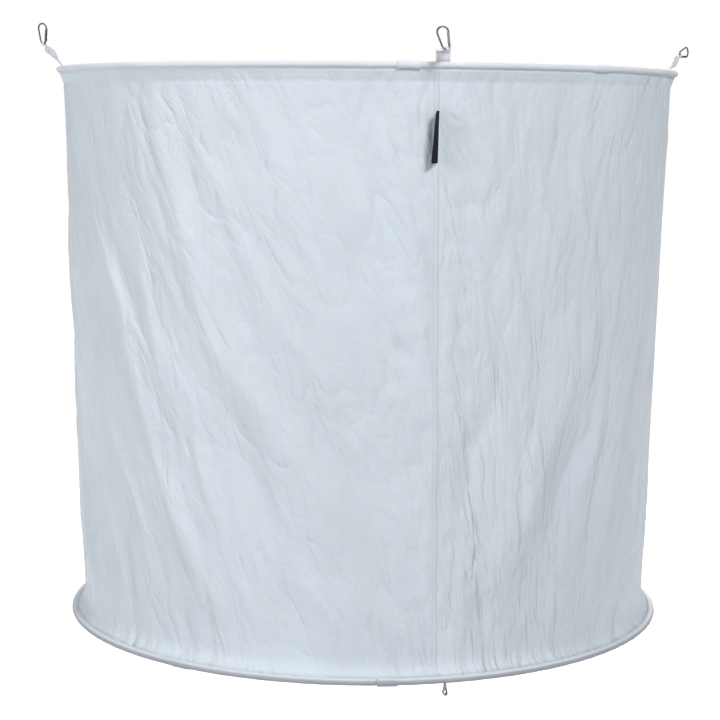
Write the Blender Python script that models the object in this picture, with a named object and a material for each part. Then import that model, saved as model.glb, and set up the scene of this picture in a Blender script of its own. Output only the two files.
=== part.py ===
"""Space light softbox: a round cloth skirt sewn between two hoops, hung by four snap hooks.

The origin is the centre of the upper hoop, +Z is up, and -Y faces the viewer.
An azimuth is measured from -Y towards +X.
"""
import math

import bmesh
import bpy
from mathutils import Matrix, Vector

MM = 0.001
CLEARANCE = 0.3 * MM

# Hoops, to the centre line of their rods
UPPER_HOOP_RADIUS = 595.0 * MM
LOWER_HOOP_RADIUS = 580.0 * MM
HOOP_SPACING = 1052.0 * MM
ROD_RADIUS = 3.5 * MM
ROD_END_GAP = 0.8 * MM
FERRULE_LENGTH = 34.0 * MM
FERRULE_WALL = 0.8 * MM

# Sewn sleeve round each rod
SLEEVE_WALL = 1.2 * MM
SLEEVE_LIP = 7.0 * MM
SLEEVE_OVERLAP_LENGTH = 36.0 * MM
SLEEVE_OVERLAP_STEP = 0.8 * MM

# Skirt
CLOTH_THICKNESS = 0.8 * MM
WALL_TOP_RADIUS = 586.0 * MM
WALL_BOTTOM_RADIUS = 558.0 * MM
UPPER_FLANGE_DROP = 27.0 * MM
LOWER_FLANGE_RISE = 18.0 * MM
SEAM_TAPE_WIDTH = 10.0 * MM
SEAM_TAPE_THICKNESS = 0.6 * MM
BOTTOM_CLOTH_SAG = 16.0 * MM
FOLD_DEPTH = 9.0 * MM

# Label sewn in the vertical seam
LABEL_HEIGHT = 86.0 * MM
LABEL_WIDTH = 25.0 * MM
LABEL_THICKNESS = 0.8 * MM
LABEL_TOP = 75.0 * MM
LABEL_LEAN = (28.0, 46.0)

# Webbing
WEBBING_WIDTH = 25.0 * MM
WEBBING_THICKNESS = 2.0 * MM
TAB_THICKNESS = 1.6 * MM
TAB_RISE = 4.0 * MM
FITTING_MARGIN = 3.0 * MM
STRAP_LENGTH = 58.0 * MM
EYE_WIDTH = 5.2 * MM
EYE_RADIUS = 2.7 * MM
EYE_WALL = 1.2 * MM

# Snap hook
HOOK_WIRE_RADIUS = 1.6 * MM
HOOK_LENGTH = 40.0 * MM
HOOK_WIDTH = 22.0 * MM
HOOK_NECK_RADIUS = 6.0 * MM
TONGUE_THICKNESS = 1.4 * MM
TONGUE_LENGTH = 3.4 * MM
TONGUE_NOSE = 1.6 * MM
GATE_WALL = 0.6 * MM
GATE_LIP = 1.3 * MM
GATE_CORNER = 0.4 * MM
GATE_TAIL = 1.2 * MM
GATE_WEB_START = 2.4 * MM
GATE_OVERRUN = 1.4 * MM
PIN_RADIUS = 0.45 * MM
PIN_SET_BACK = 1.5 * MM
NOSE_SET_BACK = 1.0 * MM

# Pull loop under the lower hoop
LOOP_LENGTH = 22.0 * MM
LOOP_THICKNESS = 8.0 * MM
LOOP_WIDTH = 12.0 * MM
LOOP_WALL = 1.4 * MM

# Places round the hoops, in degrees
SEAM_AZIMUTH = 12.0
SEAM_SLANT = 1.6
UPPER_FERRULE_AZIMUTH = 42.7
LOWER_FERRULE_AZIMUTH = -33.8
UPPER_OVERLAP_AZIMUTH = 6.5
LOWER_OVERLAP_AZIMUTH = 4.2
LOOP_AZIMUTH = 14.3
STATION_STEP = 6.0
FERRULE_BLEND = 0.7
OVERLAP_EDGE = 0.12
OVERLAP_FADE = 0.6

# How each strap and its hook stand at rest, in degrees
HOOK_STATIONS = {
    "front": {"azimuth": 12.2, "lean": 72.0, "skew": -7.0, "twist": 21.0, "fold": -79.0, "tilt": -10.0},
    "right": {"azimuth": 92.5, "lean": 45.0, "skew": 33.0, "twist": -56.0, "fold": -8.0, "tilt": -26.0},
    "rear": {"azimuth": 192.4, "lean": 82.0, "skew": 0.0, "twist": 12.0, "fold": 30.0, "tilt": 4.0},
    "left": {"azimuth": -79.0, "lean": 40.0, "skew": 23.0, "twist": 45.0, "fold": -38.0, "tilt": -15.0},
}

CLOTH = ("white cloth", (0.80, 0.84, 0.88), 0.65, 0.0)
SLEEVE = ("white sleeve cloth", (0.78, 0.80, 0.85), 0.7, 0.0)
WEBBING = ("lilac white webbing", (0.66, 0.65, 0.72), 0.8, 0.0)
SPRING_STEEL = ("spring steel", (0.45, 0.46, 0.48), 0.35, 1.0)
HOOK_STEEL = ("dark nickel steel", (0.30, 0.31, 0.32), 0.28, 1.0)
LABEL_CLOTH = ("black label cloth", (0.015, 0.016, 0.02), 0.8, 0.0)


def clear_scene():
    for old in list(bpy.data.objects):
        bpy.data.objects.remove(old, do_unlink=True)


def material(finish):
    name, colour, roughness, metallic = finish
    made = bpy.data.materials.get(name)
    if made is None:
        made = bpy.data.materials.new(name)
        made.use_nodes = True
        shader = made.node_tree.nodes["Principled BSDF"]
        shader.inputs["Base Color"].default_value = (*colour, 1.0)
        shader.inputs["Roughness"].default_value = roughness
        shader.inputs["Metallic"].default_value = metallic
        made.diffuse_color = (*colour, 1.0)
    return made


def make_mesh(name, points, faces, smooth_angle=40.0):
    """A closed mesh whose faces point outwards."""
    shape = bmesh.new()
    corners = [shape.verts.new(point) for point in points]
    for face in faces:
        shape.faces.new([corners[index] for index in face])
    bmesh.ops.recalc_face_normals(shape, faces=shape.faces)
    mesh = bpy.data.meshes.new(name)
    shape.to_mesh(mesh)
    shape.free()
    mesh.shade_smooth()
    mesh.set_sharp_from_angle(angle=math.radians(smooth_angle))
    return mesh


def add_object(name, mesh, finish, matrix=None, parent=None):
    made = bpy.data.objects.new(name, mesh)
    bpy.context.scene.collection.objects.link(made)
    if not mesh.materials:
        mesh.materials.append(material(finish))
    if parent is not None:
        made.parent = parent
    if matrix is not None:
        made.matrix_local = matrix
    return made


def add_empty(name, matrix):
    made = bpy.data.objects.new(name, None)
    made.empty_display_size = 0.01
    bpy.context.scene.collection.objects.link(made)
    made.matrix_world = matrix
    return made


def smooth_step(low, high, value):
    share = min(max((value - low) / (high - low), 0.0), 1.0)
    return share * share * (3.0 - 2.0 * share)


def around(azimuth, radius, height):
    """The point at an azimuth in degrees, a distance from the axis and a height."""
    turn = math.radians(azimuth)
    return Vector((radius * math.sin(turn), -radius * math.cos(turn), height))


def outward(azimuth):
    return around(azimuth, 1.0, 0.0)


def sideways(azimuth):
    turn = math.radians(azimuth)
    return Vector((math.cos(turn), math.sin(turn), 0.0))


def angle_apart(first, second):
    return abs((first - second + 180.0) % 360.0 - 180.0)


def arc_degrees(length, radius):
    return math.degrees(length / radius)


def ring_stations(anchors, step=STATION_STEP):
    """Azimuths once round that hold every anchor and never lie further apart than the step."""
    kept = sorted({round(anchor % 360.0, 4) for anchor in anchors})
    stations = []
    for index, start in enumerate(kept):
        end = kept[(index + 1) % len(kept)] + (360.0 if index + 1 == len(kept) else 0.0)
        parts = max(1, math.ceil((end - start) / step - 0.001))
        stations += [start + (end - start) * part / parts for part in range(parts)]
    return stations


def closed_ring(name, stations, profile, smooth_angle=40.0, inner_from=None):
    """A closed profile (radius, height) carried once round the axis.

    A thin wall gives the side at which its inner face begins. It is split into triangles, so that
    both of its faces bend along the same diagonals.
    """
    points = []
    for azimuth in stations:
        points += [around(azimuth, radius, height) for radius, height in profile(azimuth)]
    count = len(points) // len(stations)
    faces = []
    for index in range(len(stations)):
        here = index * count
        there = (index + 1) % len(stations) * count
        for side in range(count):
            after = (side + 1) % count
            face = (here + side, here + after, there + after, there + side)
            if inner_from is None:
                faces.append(face)
            elif side < inner_from:
                faces += [face[:3], (face[2], face[3], face[0])]
            else:
                faces += [face[1:], (face[3], face[0], face[1])]
    return make_mesh(name, points, faces, smooth_angle)


def open_ring(name, stations, profile):
    """A solid profile carried part of the way round, with flat ends."""
    points = []
    for azimuth in stations:
        points += [around(azimuth, radius, height) for radius, height in profile(azimuth)]
    count = len(points) // len(stations)
    faces = [tuple(range(count)), tuple(len(points) - 1 - side for side in range(count))]
    for index in range(len(stations) - 1):
        here = index * count
        for side in range(count):
            after = (side + 1) % count
            faces.append((here + side, here + after, here + count + after, here + count + side))
    return make_mesh(name, points, faces)


def circle_profile(centre, radius, sides):
    turn = 2.0 * math.pi / sides
    return [(centre[0] + radius * math.cos(turn * side), centre[1] + radius * math.sin(turn * side))
            for side in range(sides)]


class Hoop:
    """One hoop with its places: the rod, the ferrule that closes it and the sleeve's overlap."""

    def __init__(self, name, radius, height, seam, ferrule, overlap, fittings):
        self.name = name
        self.centre = (radius, height)
        self.seam = seam
        self.ferrule = ferrule
        self.overlap = overlap
        self.half_ferrule = arc_degrees(FERRULE_LENGTH / 2.0, radius)
        self.half_overlap = arc_degrees(SLEEVE_OVERLAP_LENGTH / 2.0, radius)
        self.half_fitting = arc_degrees(WEBBING_WIDTH / 2.0 + FITTING_MARGIN, radius)
        anchors = [ferrule + side * self.half_ferrule for side in (-1.0, 0.0, 1.0)]
        anchors += [ferrule + side * (self.half_ferrule + FERRULE_BLEND) for side in (-1.0, 1.0)]
        anchors += [overlap + side * self.half_overlap for side in (-1.0, 1.0)]
        anchors += [overlap - self.half_overlap - OVERLAP_EDGE, overlap + self.half_overlap + OVERLAP_FADE]
        for fitting in fittings:
            anchors += [fitting - self.half_fitting, fitting + self.half_fitting]
        self.stations = ring_stations(anchors)

    def flat_radius(self):
        """The rod's distance from the axis at the middle of the straight facet at a fitting."""
        return self.centre[0] * math.cos(math.radians(self.half_fitting))

    def lip_direction(self):
        """From the rod towards the seam with the skirt."""
        across = (self.seam[0] - self.centre[0], self.seam[1] - self.centre[1])
        length = math.hypot(*across)
        return across[0] / length, across[1] / length

    def sleeve_bore(self, azimuth):
        past = angle_apart(azimuth, self.ferrule) - self.half_ferrule
        swell = FERRULE_WALL + CLEARANCE
        return ROD_RADIUS + CLEARANCE + swell * (1.0 - smooth_step(0.1, FERRULE_BLEND, past))

    def sleeve_wall(self, azimuth):
        past = angle_apart(azimuth, self.overlap) - self.half_overlap
        return SLEEVE_WALL + (SLEEVE_OVERLAP_STEP if past < 0.05 else 0.0)

    def sleeve_profile(self, azimuth):
        """A strip folded round the rod, with its two edges as lips either side of the flange."""
        ahead = self.lip_direction()
        aside = (-ahead[1], ahead[0])
        bore = self.sleeve_bore(azimuth)
        outer = bore + self.sleeve_wall(azimuth)
        half_slot = CLOTH_THICKNESS / 2.0 + CLEARANCE
        half_lip = half_slot + SLEEVE_WALL * 0.75
        end = ROD_RADIUS + CLEARANCE + SLEEVE_WALL + SLEEVE_LIP
        opening = math.asin(half_slot / bore)
        mouth = math.asin(half_lip / outer)

        def place(along, across):
            return (self.centre[0] + ahead[0] * along + aside[0] * across,
                    self.centre[1] + ahead[1] * along + aside[1] * across)

        outer_sides, bore_sides = 7, 8
        profile = [place(end, half_lip)]
        for side in range(outer_sides + 1):
            angle = mouth + (2.0 * math.pi - 2.0 * mouth) * side / outer_sides
            profile.append(place(outer * math.cos(angle), outer * math.sin(angle)))
        profile += [place(end, -half_lip), place(end, -half_slot)]
        for side in range(bore_sides + 1):
            angle = opening + (2.0 * math.pi - 2.0 * opening) * (1.0 - side / bore_sides)
            profile.append(place(bore * math.cos(angle), bore * math.sin(angle)))
        profile.append(place(end, half_slot))
        return profile

    def flange_profile(self, azimuth):
        """A flat strip from inside the sleeve's lips to the seam with the skirt."""
        ahead = self.lip_direction()
        half = CLOTH_THICKNESS / 2.0
        start = self.sleeve_bore(azimuth) + SLEEVE_WALL
        length = math.hypot(self.seam[0] - self.centre[0], self.seam[1] - self.centre[1])
        profile = []
        for along, across in ((start, half), (length, half), (length, -half), (start, -half)):
            profile.append((self.centre[0] + ahead[0] * along - ahead[1] * across,
                            self.centre[1] + ahead[1] * along + ahead[0] * across))
        return profile

    def rod_stations(self):
        gap = arc_degrees(ROD_END_GAP / 2.0, self.centre[0])
        turned = sorted((station - self.ferrule) % 360.0 for station in self.stations)
        return [self.ferrule + turn for turn in [gap] + turned[1:] + [360.0 - gap]]

    def build(self):
        add_object(self.name + "_hoop_rod",
                   open_ring(self.name + "_hoop_rod", self.rod_stations(),
                             lambda azimuth: circle_profile(self.centre, ROD_RADIUS, 6)),
                   SPRING_STEEL)
        self.build_ferrule()
        add_object(self.name + "_hoop_sleeve",
                   closed_ring(self.name + "_hoop_sleeve", self.stations, self.sleeve_profile),
                   SLEEVE)
        add_object(self.name + "_flange",
                   closed_ring(self.name + "_flange", self.stations, self.flange_profile),
                   CLOTH)

    def build_ferrule(self):
        """A short tube that holds both ends of the rod."""
        bore = ROD_RADIUS + CLEARANCE / 2.0
        outer = ROD_RADIUS + FERRULE_WALL
        sides = 12
        points = []
        for offset in (-1.0, 0.0, 1.0):
            azimuth = self.ferrule + offset * self.half_ferrule
            for radius in (outer, bore):
                points += [around(azimuth, *place) for place in circle_profile(self.centre, radius, sides)]
        faces = []
        for side in range(sides):
            after = (side + 1) % sides
            for layer in (0, 2 * sides):
                faces.append((layer + side, layer + after, layer + 2 * sides + after, layer + 2 * sides + side))
                faces.append((layer + sides + after, layer + sides + side,
                              layer + 3 * sides + side, layer + 3 * sides + after))
            for layer in (0, 4 * sides):
                faces.append((layer + side, layer + after, layer + sides + after, layer + sides + side))
        name = self.name + "_hoop_ferrule"
        add_object(name, make_mesh(name, points, faces), SPRING_STEEL)


def share_down(height):
    """How far down the skirt a height is, from 0 at its top seam to 1 at its lower one."""
    top = -UPPER_FLANGE_DROP
    return (top - height) / (top + HOOP_SPACING - LOWER_FLANGE_RISE)


def seam_azimuth(height):
    """The skirt hangs a little twisted, so its seam slants."""
    return SEAM_AZIMUTH + SEAM_SLANT * (share_down(height) - 0.5)


def wall_radius(azimuth, height):
    """The skirt's radius: a slight taper and long slanting folds."""
    down = share_down(height)
    radius = WALL_TOP_RADIUS + (WALL_BOTTOM_RADIUS - WALL_TOP_RADIUS) * down
    away = smooth_step(3.0, 12.0, angle_apart(azimuth, SEAM_AZIMUTH))
    held = smooth_step(0.0, 0.16, down) * smooth_step(0.0, 0.12, 1.0 - down)
    turn = math.radians(azimuth - SEAM_AZIMUTH)
    slanting = math.sin(13.0 * turn - 3.4 * down + 0.6 * math.sin(3.0 * turn))
    crossing = 0.6 * math.sin(19.0 * turn + 2.1 * down + 1.3)
    long_fold = 0.8 * math.sin(5.0 * turn + 2.6 * down)
    fold = (slanting + crossing + long_fold) / 2.4
    return radius + FOLD_DEPTH * away * held * fold


def strip_faces(rows):
    """The faces of a closed strip whose rows have four corners each."""
    faces = [(0, 1, 3, 2), tuple(4 * (rows - 1) + index for index in (0, 2, 3, 1))]
    for row in range(rows - 1):
        low = 4 * row
        for first, second in ((0, 1), (1, 3), (3, 2), (2, 0)):
            faces.append((low + first, low + second, low + 4 + second, low + 4 + first))
    return faces


def build_wall():
    """One length of cloth sewn into a tube, open at both ends."""
    reach = SEAM_SLANT / 2.0 + arc_degrees(SEAM_TAPE_WIDTH / 2.0 + 2.0 * MM, WALL_TOP_RADIUS)
    stations = ring_stations([SEAM_AZIMUTH + reach * share for share in (-1.0, -1.0 / 3.0, 1.0 / 3.0, 1.0)])
    half = CLOTH_THICKNESS / 2.0
    top = -UPPER_FLANGE_DROP - half - CLEARANCE
    bottom = -HOOP_SPACING + LOWER_FLANGE_RISE + half + CLEARANCE
    rows = 8

    def profile(azimuth):
        heights = [top + (bottom - top) * row / rows for row in range(rows + 1)]
        outer = [(wall_radius(azimuth, height) + half, height) for height in heights]
        inner = [(wall_radius(azimuth, height) - half, height) for height in reversed(heights)]
        return outer + inner

    add_object("skirt_wall", closed_ring("skirt_wall", stations, profile, 80.0, inner_from=rows + 1), CLOTH)

    points = []
    for row in range(rows + 1):
        height = top + (bottom - top) * row / rows
        azimuth = seam_azimuth(height)
        near = wall_radius(azimuth, height) + half + CLEARANCE
        for distance in (near, near + SEAM_TAPE_THICKNESS):
            for side in (-0.5, 0.5):
                points.append(outward(azimuth) * distance + Vector((0.0, 0.0, height))
                              + sideways(azimuth) * side * SEAM_TAPE_WIDTH)
    add_object("seam_tape", make_mesh("seam_tape", points, strip_faces(rows + 1)), CLOTH)


def build_label():
    """A bare black tag that stands out of the seam by one long edge."""
    lowest = wall_radius(SEAM_AZIMUTH, -LABEL_TOP) + CLOTH_THICKNESS / 2.0
    root = lowest + 2.0 * CLEARANCE + SEAM_TAPE_THICKNESS + LABEL_THICKNESS / 2.0
    azimuth = seam_azimuth(-LABEL_TOP - LABEL_HEIGHT / 2.0)
    points = []
    rows, columns = 4, 3
    for row in range(rows + 1):
        down = row / rows
        lean = math.radians(LABEL_LEAN[0] + (LABEL_LEAN[1] - LABEL_LEAN[0]) * down)
        out = outward(azimuth) * math.cos(lean) - sideways(azimuth) * math.sin(lean)
        through = sideways(azimuth) * math.cos(lean) + outward(azimuth) * math.sin(lean)
        for column in range(columns + 1):
            for side in (-0.5, 0.5):
                points.append(outward(azimuth) * root + out * (LABEL_WIDTH * column / columns)
                              + through * side * LABEL_THICKNESS
                              + Vector((0.0, 0.0, -LABEL_TOP - down * LABEL_HEIGHT)))
    across = 2 * (columns + 1)
    faces = []
    for row in range(rows):
        for column in range(columns):
            for side in (0, 1):
                low = row * across + 2 * column + side
                faces.append((low, low + 2, low + across + 2, low + across))
        for edge in (0, 2 * columns):
            low = row * across + edge
            faces.append((low, low + 1, low + across + 1, low + across))
    for low_row in (0, rows * across):
        for column in range(columns):
            low = low_row + 2 * column
            faces.append((low, low + 1, low + 3, low + 2))
    add_object("label", make_mesh("label", points, faces), LABEL_CLOTH)


def build_bottom_cloth(hoop):
    """The round diffusion cloth across the foot of the skirt, sagging a little at its middle."""
    edge = WALL_BOTTOM_RADIUS - CLOTH_THICKNESS / 2.0 - CLEARANCE
    rim = -HOOP_SPACING + LOWER_FLANGE_RISE - CLOTH_THICKNESS
    rings, stations = 4, len(hoop.stations)

    def height(share, azimuth):
        sag = BOTTOM_CLOTH_SAG * (1.0 - share * share)
        ripple = 1.5 * MM * share * (1.0 - share) * math.sin(math.radians(7.0 * azimuth))
        return rim - sag + ripple

    points = []
    for lift in (0.0, CLOTH_THICKNESS):
        for ring in range(rings):
            share = 1.0 - ring / rings
            for azimuth in hoop.stations:
                points.append(around(azimuth, edge * share, height(share, azimuth) + lift))
        points.append(Vector((0.0, 0.0, height(0.0, 0.0) + lift)))
    layer = rings * stations + 1
    faces = []
    for base in (0, layer):
        for ring in range(rings - 1):
            for station in range(stations):
                after = (station + 1) % stations
                low = base + ring * stations
                faces.append((low + station, low + after, low + stations + after, low + stations + station))
        for station in range(stations):
            last = base + (rings - 1) * stations
            faces.append((last + station, last + (station + 1) % stations, base + layer - 1))
    for station in range(stations):
        after = (station + 1) % stations
        faces.append((station, after, layer + after, layer + station))
    add_object("bottom_cloth", make_mesh("bottom_cloth", points, faces, 80.0), CLOTH)


def build_tab(name, azimuth, hoop):
    """The sewn end of a strap: it lies down the inner side of the sleeve and the flange."""
    out, along = outward(azimuth), sideways(azimuth)
    half = TAB_THICKNESS / 2.0
    inner = -ROD_RADIUS - SLEEVE_WALL - 2.0 * CLEARANCE - half
    ahead = hoop.lip_direction()
    off_flange = CLOTH_THICKNESS / 2.0 + CLEARANCE + half
    foot = UPPER_FLANGE_DROP - 4.0 * MM
    flange_foot = (-foot * ahead[0] / ahead[1] + off_flange * ahead[1], -foot)
    rows = [(inner, TAB_RISE + half, 0.4 * half), (inner, TAB_RISE, half), (inner, 0.0, half),
            (inner, -TAB_RISE, half), (*flange_foot, half)]
    flat = hoop.flat_radius()
    points = []
    for radius, height, reach in rows:
        for through in (-reach, reach):
            for side in (-0.5, 0.5):
                points.append(out * (flat + radius + through) + along * side * WEBBING_WIDTH
                              + Vector((0.0, 0.0, hoop.centre[1] + height)))
    add_object(name, make_mesh(name, points, strip_faces(len(rows))), WEBBING)


def strap_pivot(azimuth, hoop):
    """The line where the webbing bends, just above the sewn tab."""
    inner = ROD_RADIUS + 2.0 * CLEARANCE + SLEEVE_WALL + TAB_THICKNESS / 2.0
    rise = TAB_RISE + TAB_THICKNESS / 2.0 + WEBBING_THICKNESS / 2.0 + 1.3 * CLEARANCE
    return around(azimuth, hoop.flat_radius() - inner, hoop.centre[1] + rise)


def strap_frame(station, share):
    """Directions along, across and through the webbing at a share of its length."""
    azimuth = station["azimuth"]
    lean, skew = math.radians(station["lean"]), math.radians(station["skew"])
    up = outward(azimuth) * math.sin(lean) + Vector((0.0, 0.0, math.cos(lean)))
    along = up * math.cos(skew) + sideways(azimuth) * math.sin(skew)
    across = sideways(azimuth) * math.cos(skew) - up * math.sin(skew)
    turn = Matrix.Rotation(math.radians(station["twist"]) * smooth_step(0.05, 0.95, share), 3, along)
    across = turn @ across
    if share < 0.25:
        start = sideways(azimuth)
        across = start.lerp(across, share / 0.25).normalized()
    return along, across, across.cross(along).normalized()


def build_strap(name, station, pivot):
    """Webbing doubled into a loop: flat and full width below, drawn in to an eye round the hook."""
    neck = STRAP_LENGTH - EYE_RADIUS - EYE_WALL + 0.4 * MM
    half = WEBBING_THICKNESS / 2.0

    def width(distance):
        share = smooth_step(0.66 * STRAP_LENGTH, 0.93 * STRAP_LENGTH, distance)
        return WEBBING_WIDTH + (EYE_WIDTH - WEBBING_WIDTH) * share

    def place(distance, through, side):
        along, across, normal = strap_frame(station, max(distance, 0.0) / STRAP_LENGTH)
        return pivot + along * distance + normal * through + across * side * width(distance) / 2.0

    rows = [(-0.75 * half, 0.45 * half), (0.0, half)]
    rows += [(neck * step / 9.0, half) for step in range(1, 9)]
    rows.append((neck, half))
    points = []
    for distance, through in rows:
        for side in (-1.0, 1.0):
            points += [place(distance, through, side), place(distance, -through, side)]
    faces = strip_faces(len(rows))
    faces.pop(1)

    # The eye: an outer and an inner ring on both sides, its first and last outer points on the neck
    last = 4 * (len(rows) - 1)
    sides = 12
    angles = [math.radians(15.0 + 30.0 * side) for side in range(sides)]
    outer, inner = [], []
    for side_index, side in enumerate((-1.0, 1.0)):
        outer_side = []
        inner_side = []
        for index, angle in enumerate(angles):
            if index == 0:
                outer_side.append(last + 2 * side_index)
            elif index == sides - 1:
                outer_side.append(last + 2 * side_index + 1)
            else:
                reach = EYE_RADIUS + EYE_WALL
                outer_side.append(len(points))
                points.append(place(STRAP_LENGTH - reach * math.cos(angle), reach * math.sin(angle), side))
            inner_side.append(len(points))
            points.append(place(STRAP_LENGTH - EYE_RADIUS * math.cos(angle),
                                EYE_RADIUS * math.sin(angle), side))
        outer.append(outer_side)
        inner.append(inner_side)
    for index in range(sides):
        after = (index + 1) % sides
        faces.append((inner[0][index], inner[0][after], inner[1][after], inner[1][index]))
        for side in (0, 1):
            faces.append((outer[side][index], outer[side][after], inner[side][after], inner[side][index]))
        if after:
            faces.append((outer[0][index], outer[0][after], outer[1][after], outer[1][index]))
    mesh = make_mesh(name, [point - pivot for point in points], faces)
    add_object(name, mesh, WEBBING, Matrix.Translation(pivot))


class HookShape:
    """The pear-shaped centre line and the places of the gate's pin and the nose."""

    def __init__(self):
        self.bow = HOOK_WIDTH / 2.0 - HOOK_WIRE_RADIUS
        self.reach = HOOK_LENGTH - HOOK_NECK_RADIUS - self.bow - 2.0 * HOOK_WIRE_RADIUS
        self.flare = math.asin((self.bow - HOOK_NECK_RADIUS) / self.reach)
        self.right = Vector((math.cos(self.flare), -math.sin(self.flare), 0.0))
        self.line = Vector((math.sin(self.flare), math.cos(self.flare), 0.0))
        self.pin = self.right * HOOK_NECK_RADIUS + self.line * PIN_SET_BACK
        length = self.reach * math.cos(self.flare)
        self.nose = self.right * HOOK_NECK_RADIUS + self.line * (length - NOSE_SET_BACK)

    def path(self):
        """Points along the wire, each with whether the wire is flattened to a tongue there."""
        ahead = self.line * (TONGUE_LENGTH - TONGUE_NOSE)
        path = [(self.pin + self.line * TONGUE_NOSE, True), (self.pin, True), (self.pin - ahead, True)]
        neck_steps, bow_steps = 8, 9
        for step in range(1, neck_steps + 1):
            angle = -self.flare - (math.pi - 2.0 * self.flare) * step / neck_steps
            path.append((Vector((math.cos(angle), math.sin(angle), 0.0)) * HOOK_NECK_RADIUS, False))
        centre = Vector((0.0, self.reach, 0.0))
        for step in range(bow_steps):
            angle = math.pi + self.flare - (math.pi + 2.0 * self.flare) * step / bow_steps
            path.append((centre + Vector((math.cos(angle), math.sin(angle), 0.0)) * self.bow, False))
        path += [(self.nose + self.line * TONGUE_NOSE * side, True) for side in (1.0, 0.0, -1.0)]
        return path


def hook_mesh():
    """Bent round wire, flattened to a tongue at the pin and at the nose."""
    path = HookShape().path()
    thick, full = TONGUE_THICKNESS / 2.0, HOOK_WIRE_RADIUS
    tongue = [(full, thick * 0.5), (full * 0.6, thick), (-full * 0.6, thick), (-full, thick * 0.5),
              (-full, -thick * 0.5), (-full * 0.6, -thick), (full * 0.6, -thick), (full, -thick * 0.5)]
    sides = len(tongue)
    spread = HOOK_WIRE_RADIUS / math.cos(math.pi / sides)
    angles = [2.0 * math.pi * (side + 0.5) / sides for side in range(sides)]
    wire = [(math.cos(angle) * spread, math.sin(angle) * spread) for angle in angles]
    points = []
    for index, (place, flattened) in enumerate(path):
        before = path[max(index - 1, 0)][0]
        after = path[min(index + 1, len(path) - 1)][0]
        ahead = (after - before).normalized()
        aside = Vector((ahead.y, -ahead.x, 0.0))
        for across, through in tongue if flattened else wire:
            points.append(place + aside * across + Vector((0.0, 0.0, through)))
    faces = [tuple(range(sides)), tuple(len(points) - 1 - side for side in range(sides))]
    for index in range(len(path) - 1):
        low = sides * index
        for side in range(sides):
            after = (side + 1) % sides
            faces.append((low + side, low + after, low + sides + after, low + sides + side))
    return make_mesh("snap_hook", points, faces)


def gate_mesh():
    """A folded channel, open outwards, that straddles the nose; only its two cheeks reach the pin."""
    shape = HookShape()
    inner = TONGUE_THICKNESS / 2.0 + CLEARANCE
    outer = inner + GATE_WALL
    back = -HOOK_WIRE_RADIUS - CLEARANCE - GATE_WALL
    floor = back + GATE_WALL
    corner = back + GATE_CORNER
    section = [(GATE_LIP, outer), (corner, outer), (back, outer - GATE_CORNER), (back, GATE_CORNER - outer),
               (corner, -outer), (GATE_LIP, -outer), (GATE_LIP, -inner), (floor, -inner),
               (floor, inner), (GATE_LIP, inner)]
    cheeks = ((0, 1, 8, 9), (5, 6, 7, 4))
    web = ((1, 2, 8), (2, 3, 7, 8), (3, 4, 7))
    length = (shape.nose - shape.pin).length + GATE_OVERRUN

    def at(along, corners):
        return [shape.right * across + shape.line * along + Vector((0.0, 0.0, through))
                for across, through in corners]

    points = at(GATE_WEB_START, section) + at(length, section)
    count = len(section)
    faces = [(index, (index + 1) % count, count + (index + 1) % count, count + index) for index in range(count)]
    faces += list(web)
    faces += [tuple(count + index for index in face) for face in cheeks + web]
    for cheek in cheeks:
        low = len(points)
        points += at(-GATE_TAIL, [section[index] for index in cheek])
        faces.append(tuple(range(low, low + 4)))
        for side in range(4):
            after = (side + 1) % 4
            faces.append((low + side, low + after, cheek[after], cheek[side]))
    return make_mesh("hook_gate", points, faces, 30.0)


def cylinder_mesh(name, radius, length, sides):
    points = []
    for height in (-length / 2.0, length / 2.0):
        for side in range(sides):
            angle = 2.0 * math.pi * side / sides
            points.append(Vector((radius * math.cos(angle), radius * math.sin(angle), height)))
    faces = [tuple(range(sides)), tuple(range(2 * sides - 1, sides - 1, -1))]
    for side in range(sides):
        after = (side + 1) % sides
        faces.append((side, after, sides + after, sides + side))
    return make_mesh(name, points, faces)


def drilled(name, mesh, place, radius):
    """The mesh with a round hole along its local Z at a place."""
    blank = bpy.data.objects.new(name, mesh)
    drill = bpy.data.objects.new("drill", cylinder_mesh("drill", radius, 20.0 * MM, 8))
    for made in (blank, drill):
        bpy.context.scene.collection.objects.link(made)
    drill.location = place
    cut = blank.modifiers.new("hole", "BOOLEAN")
    cut.operation = "DIFFERENCE"
    cut.solver = "EXACT"
    cut.object = drill
    bpy.context.view_layer.update()
    seen = blank.evaluated_get(bpy.context.evaluated_depsgraph_get())
    result = bpy.data.meshes.new_from_object(seen)
    result.name = name
    for made in (blank, drill):
        bpy.data.objects.remove(made, do_unlink=True)
    return result


def hook_matrix(station, pivot):
    """The eye's axis is local X, and the hook points along local Y."""
    along, across, normal = strap_frame(station, 1.0)
    eye = pivot + along * STRAP_LENGTH
    fold = Matrix.Rotation(math.radians(station["fold"]), 3, across)
    ahead = fold @ along
    through = across.cross(ahead)
    return Matrix.Translation(eye) @ Matrix((across, ahead, through)).transposed().to_4x4()


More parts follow.
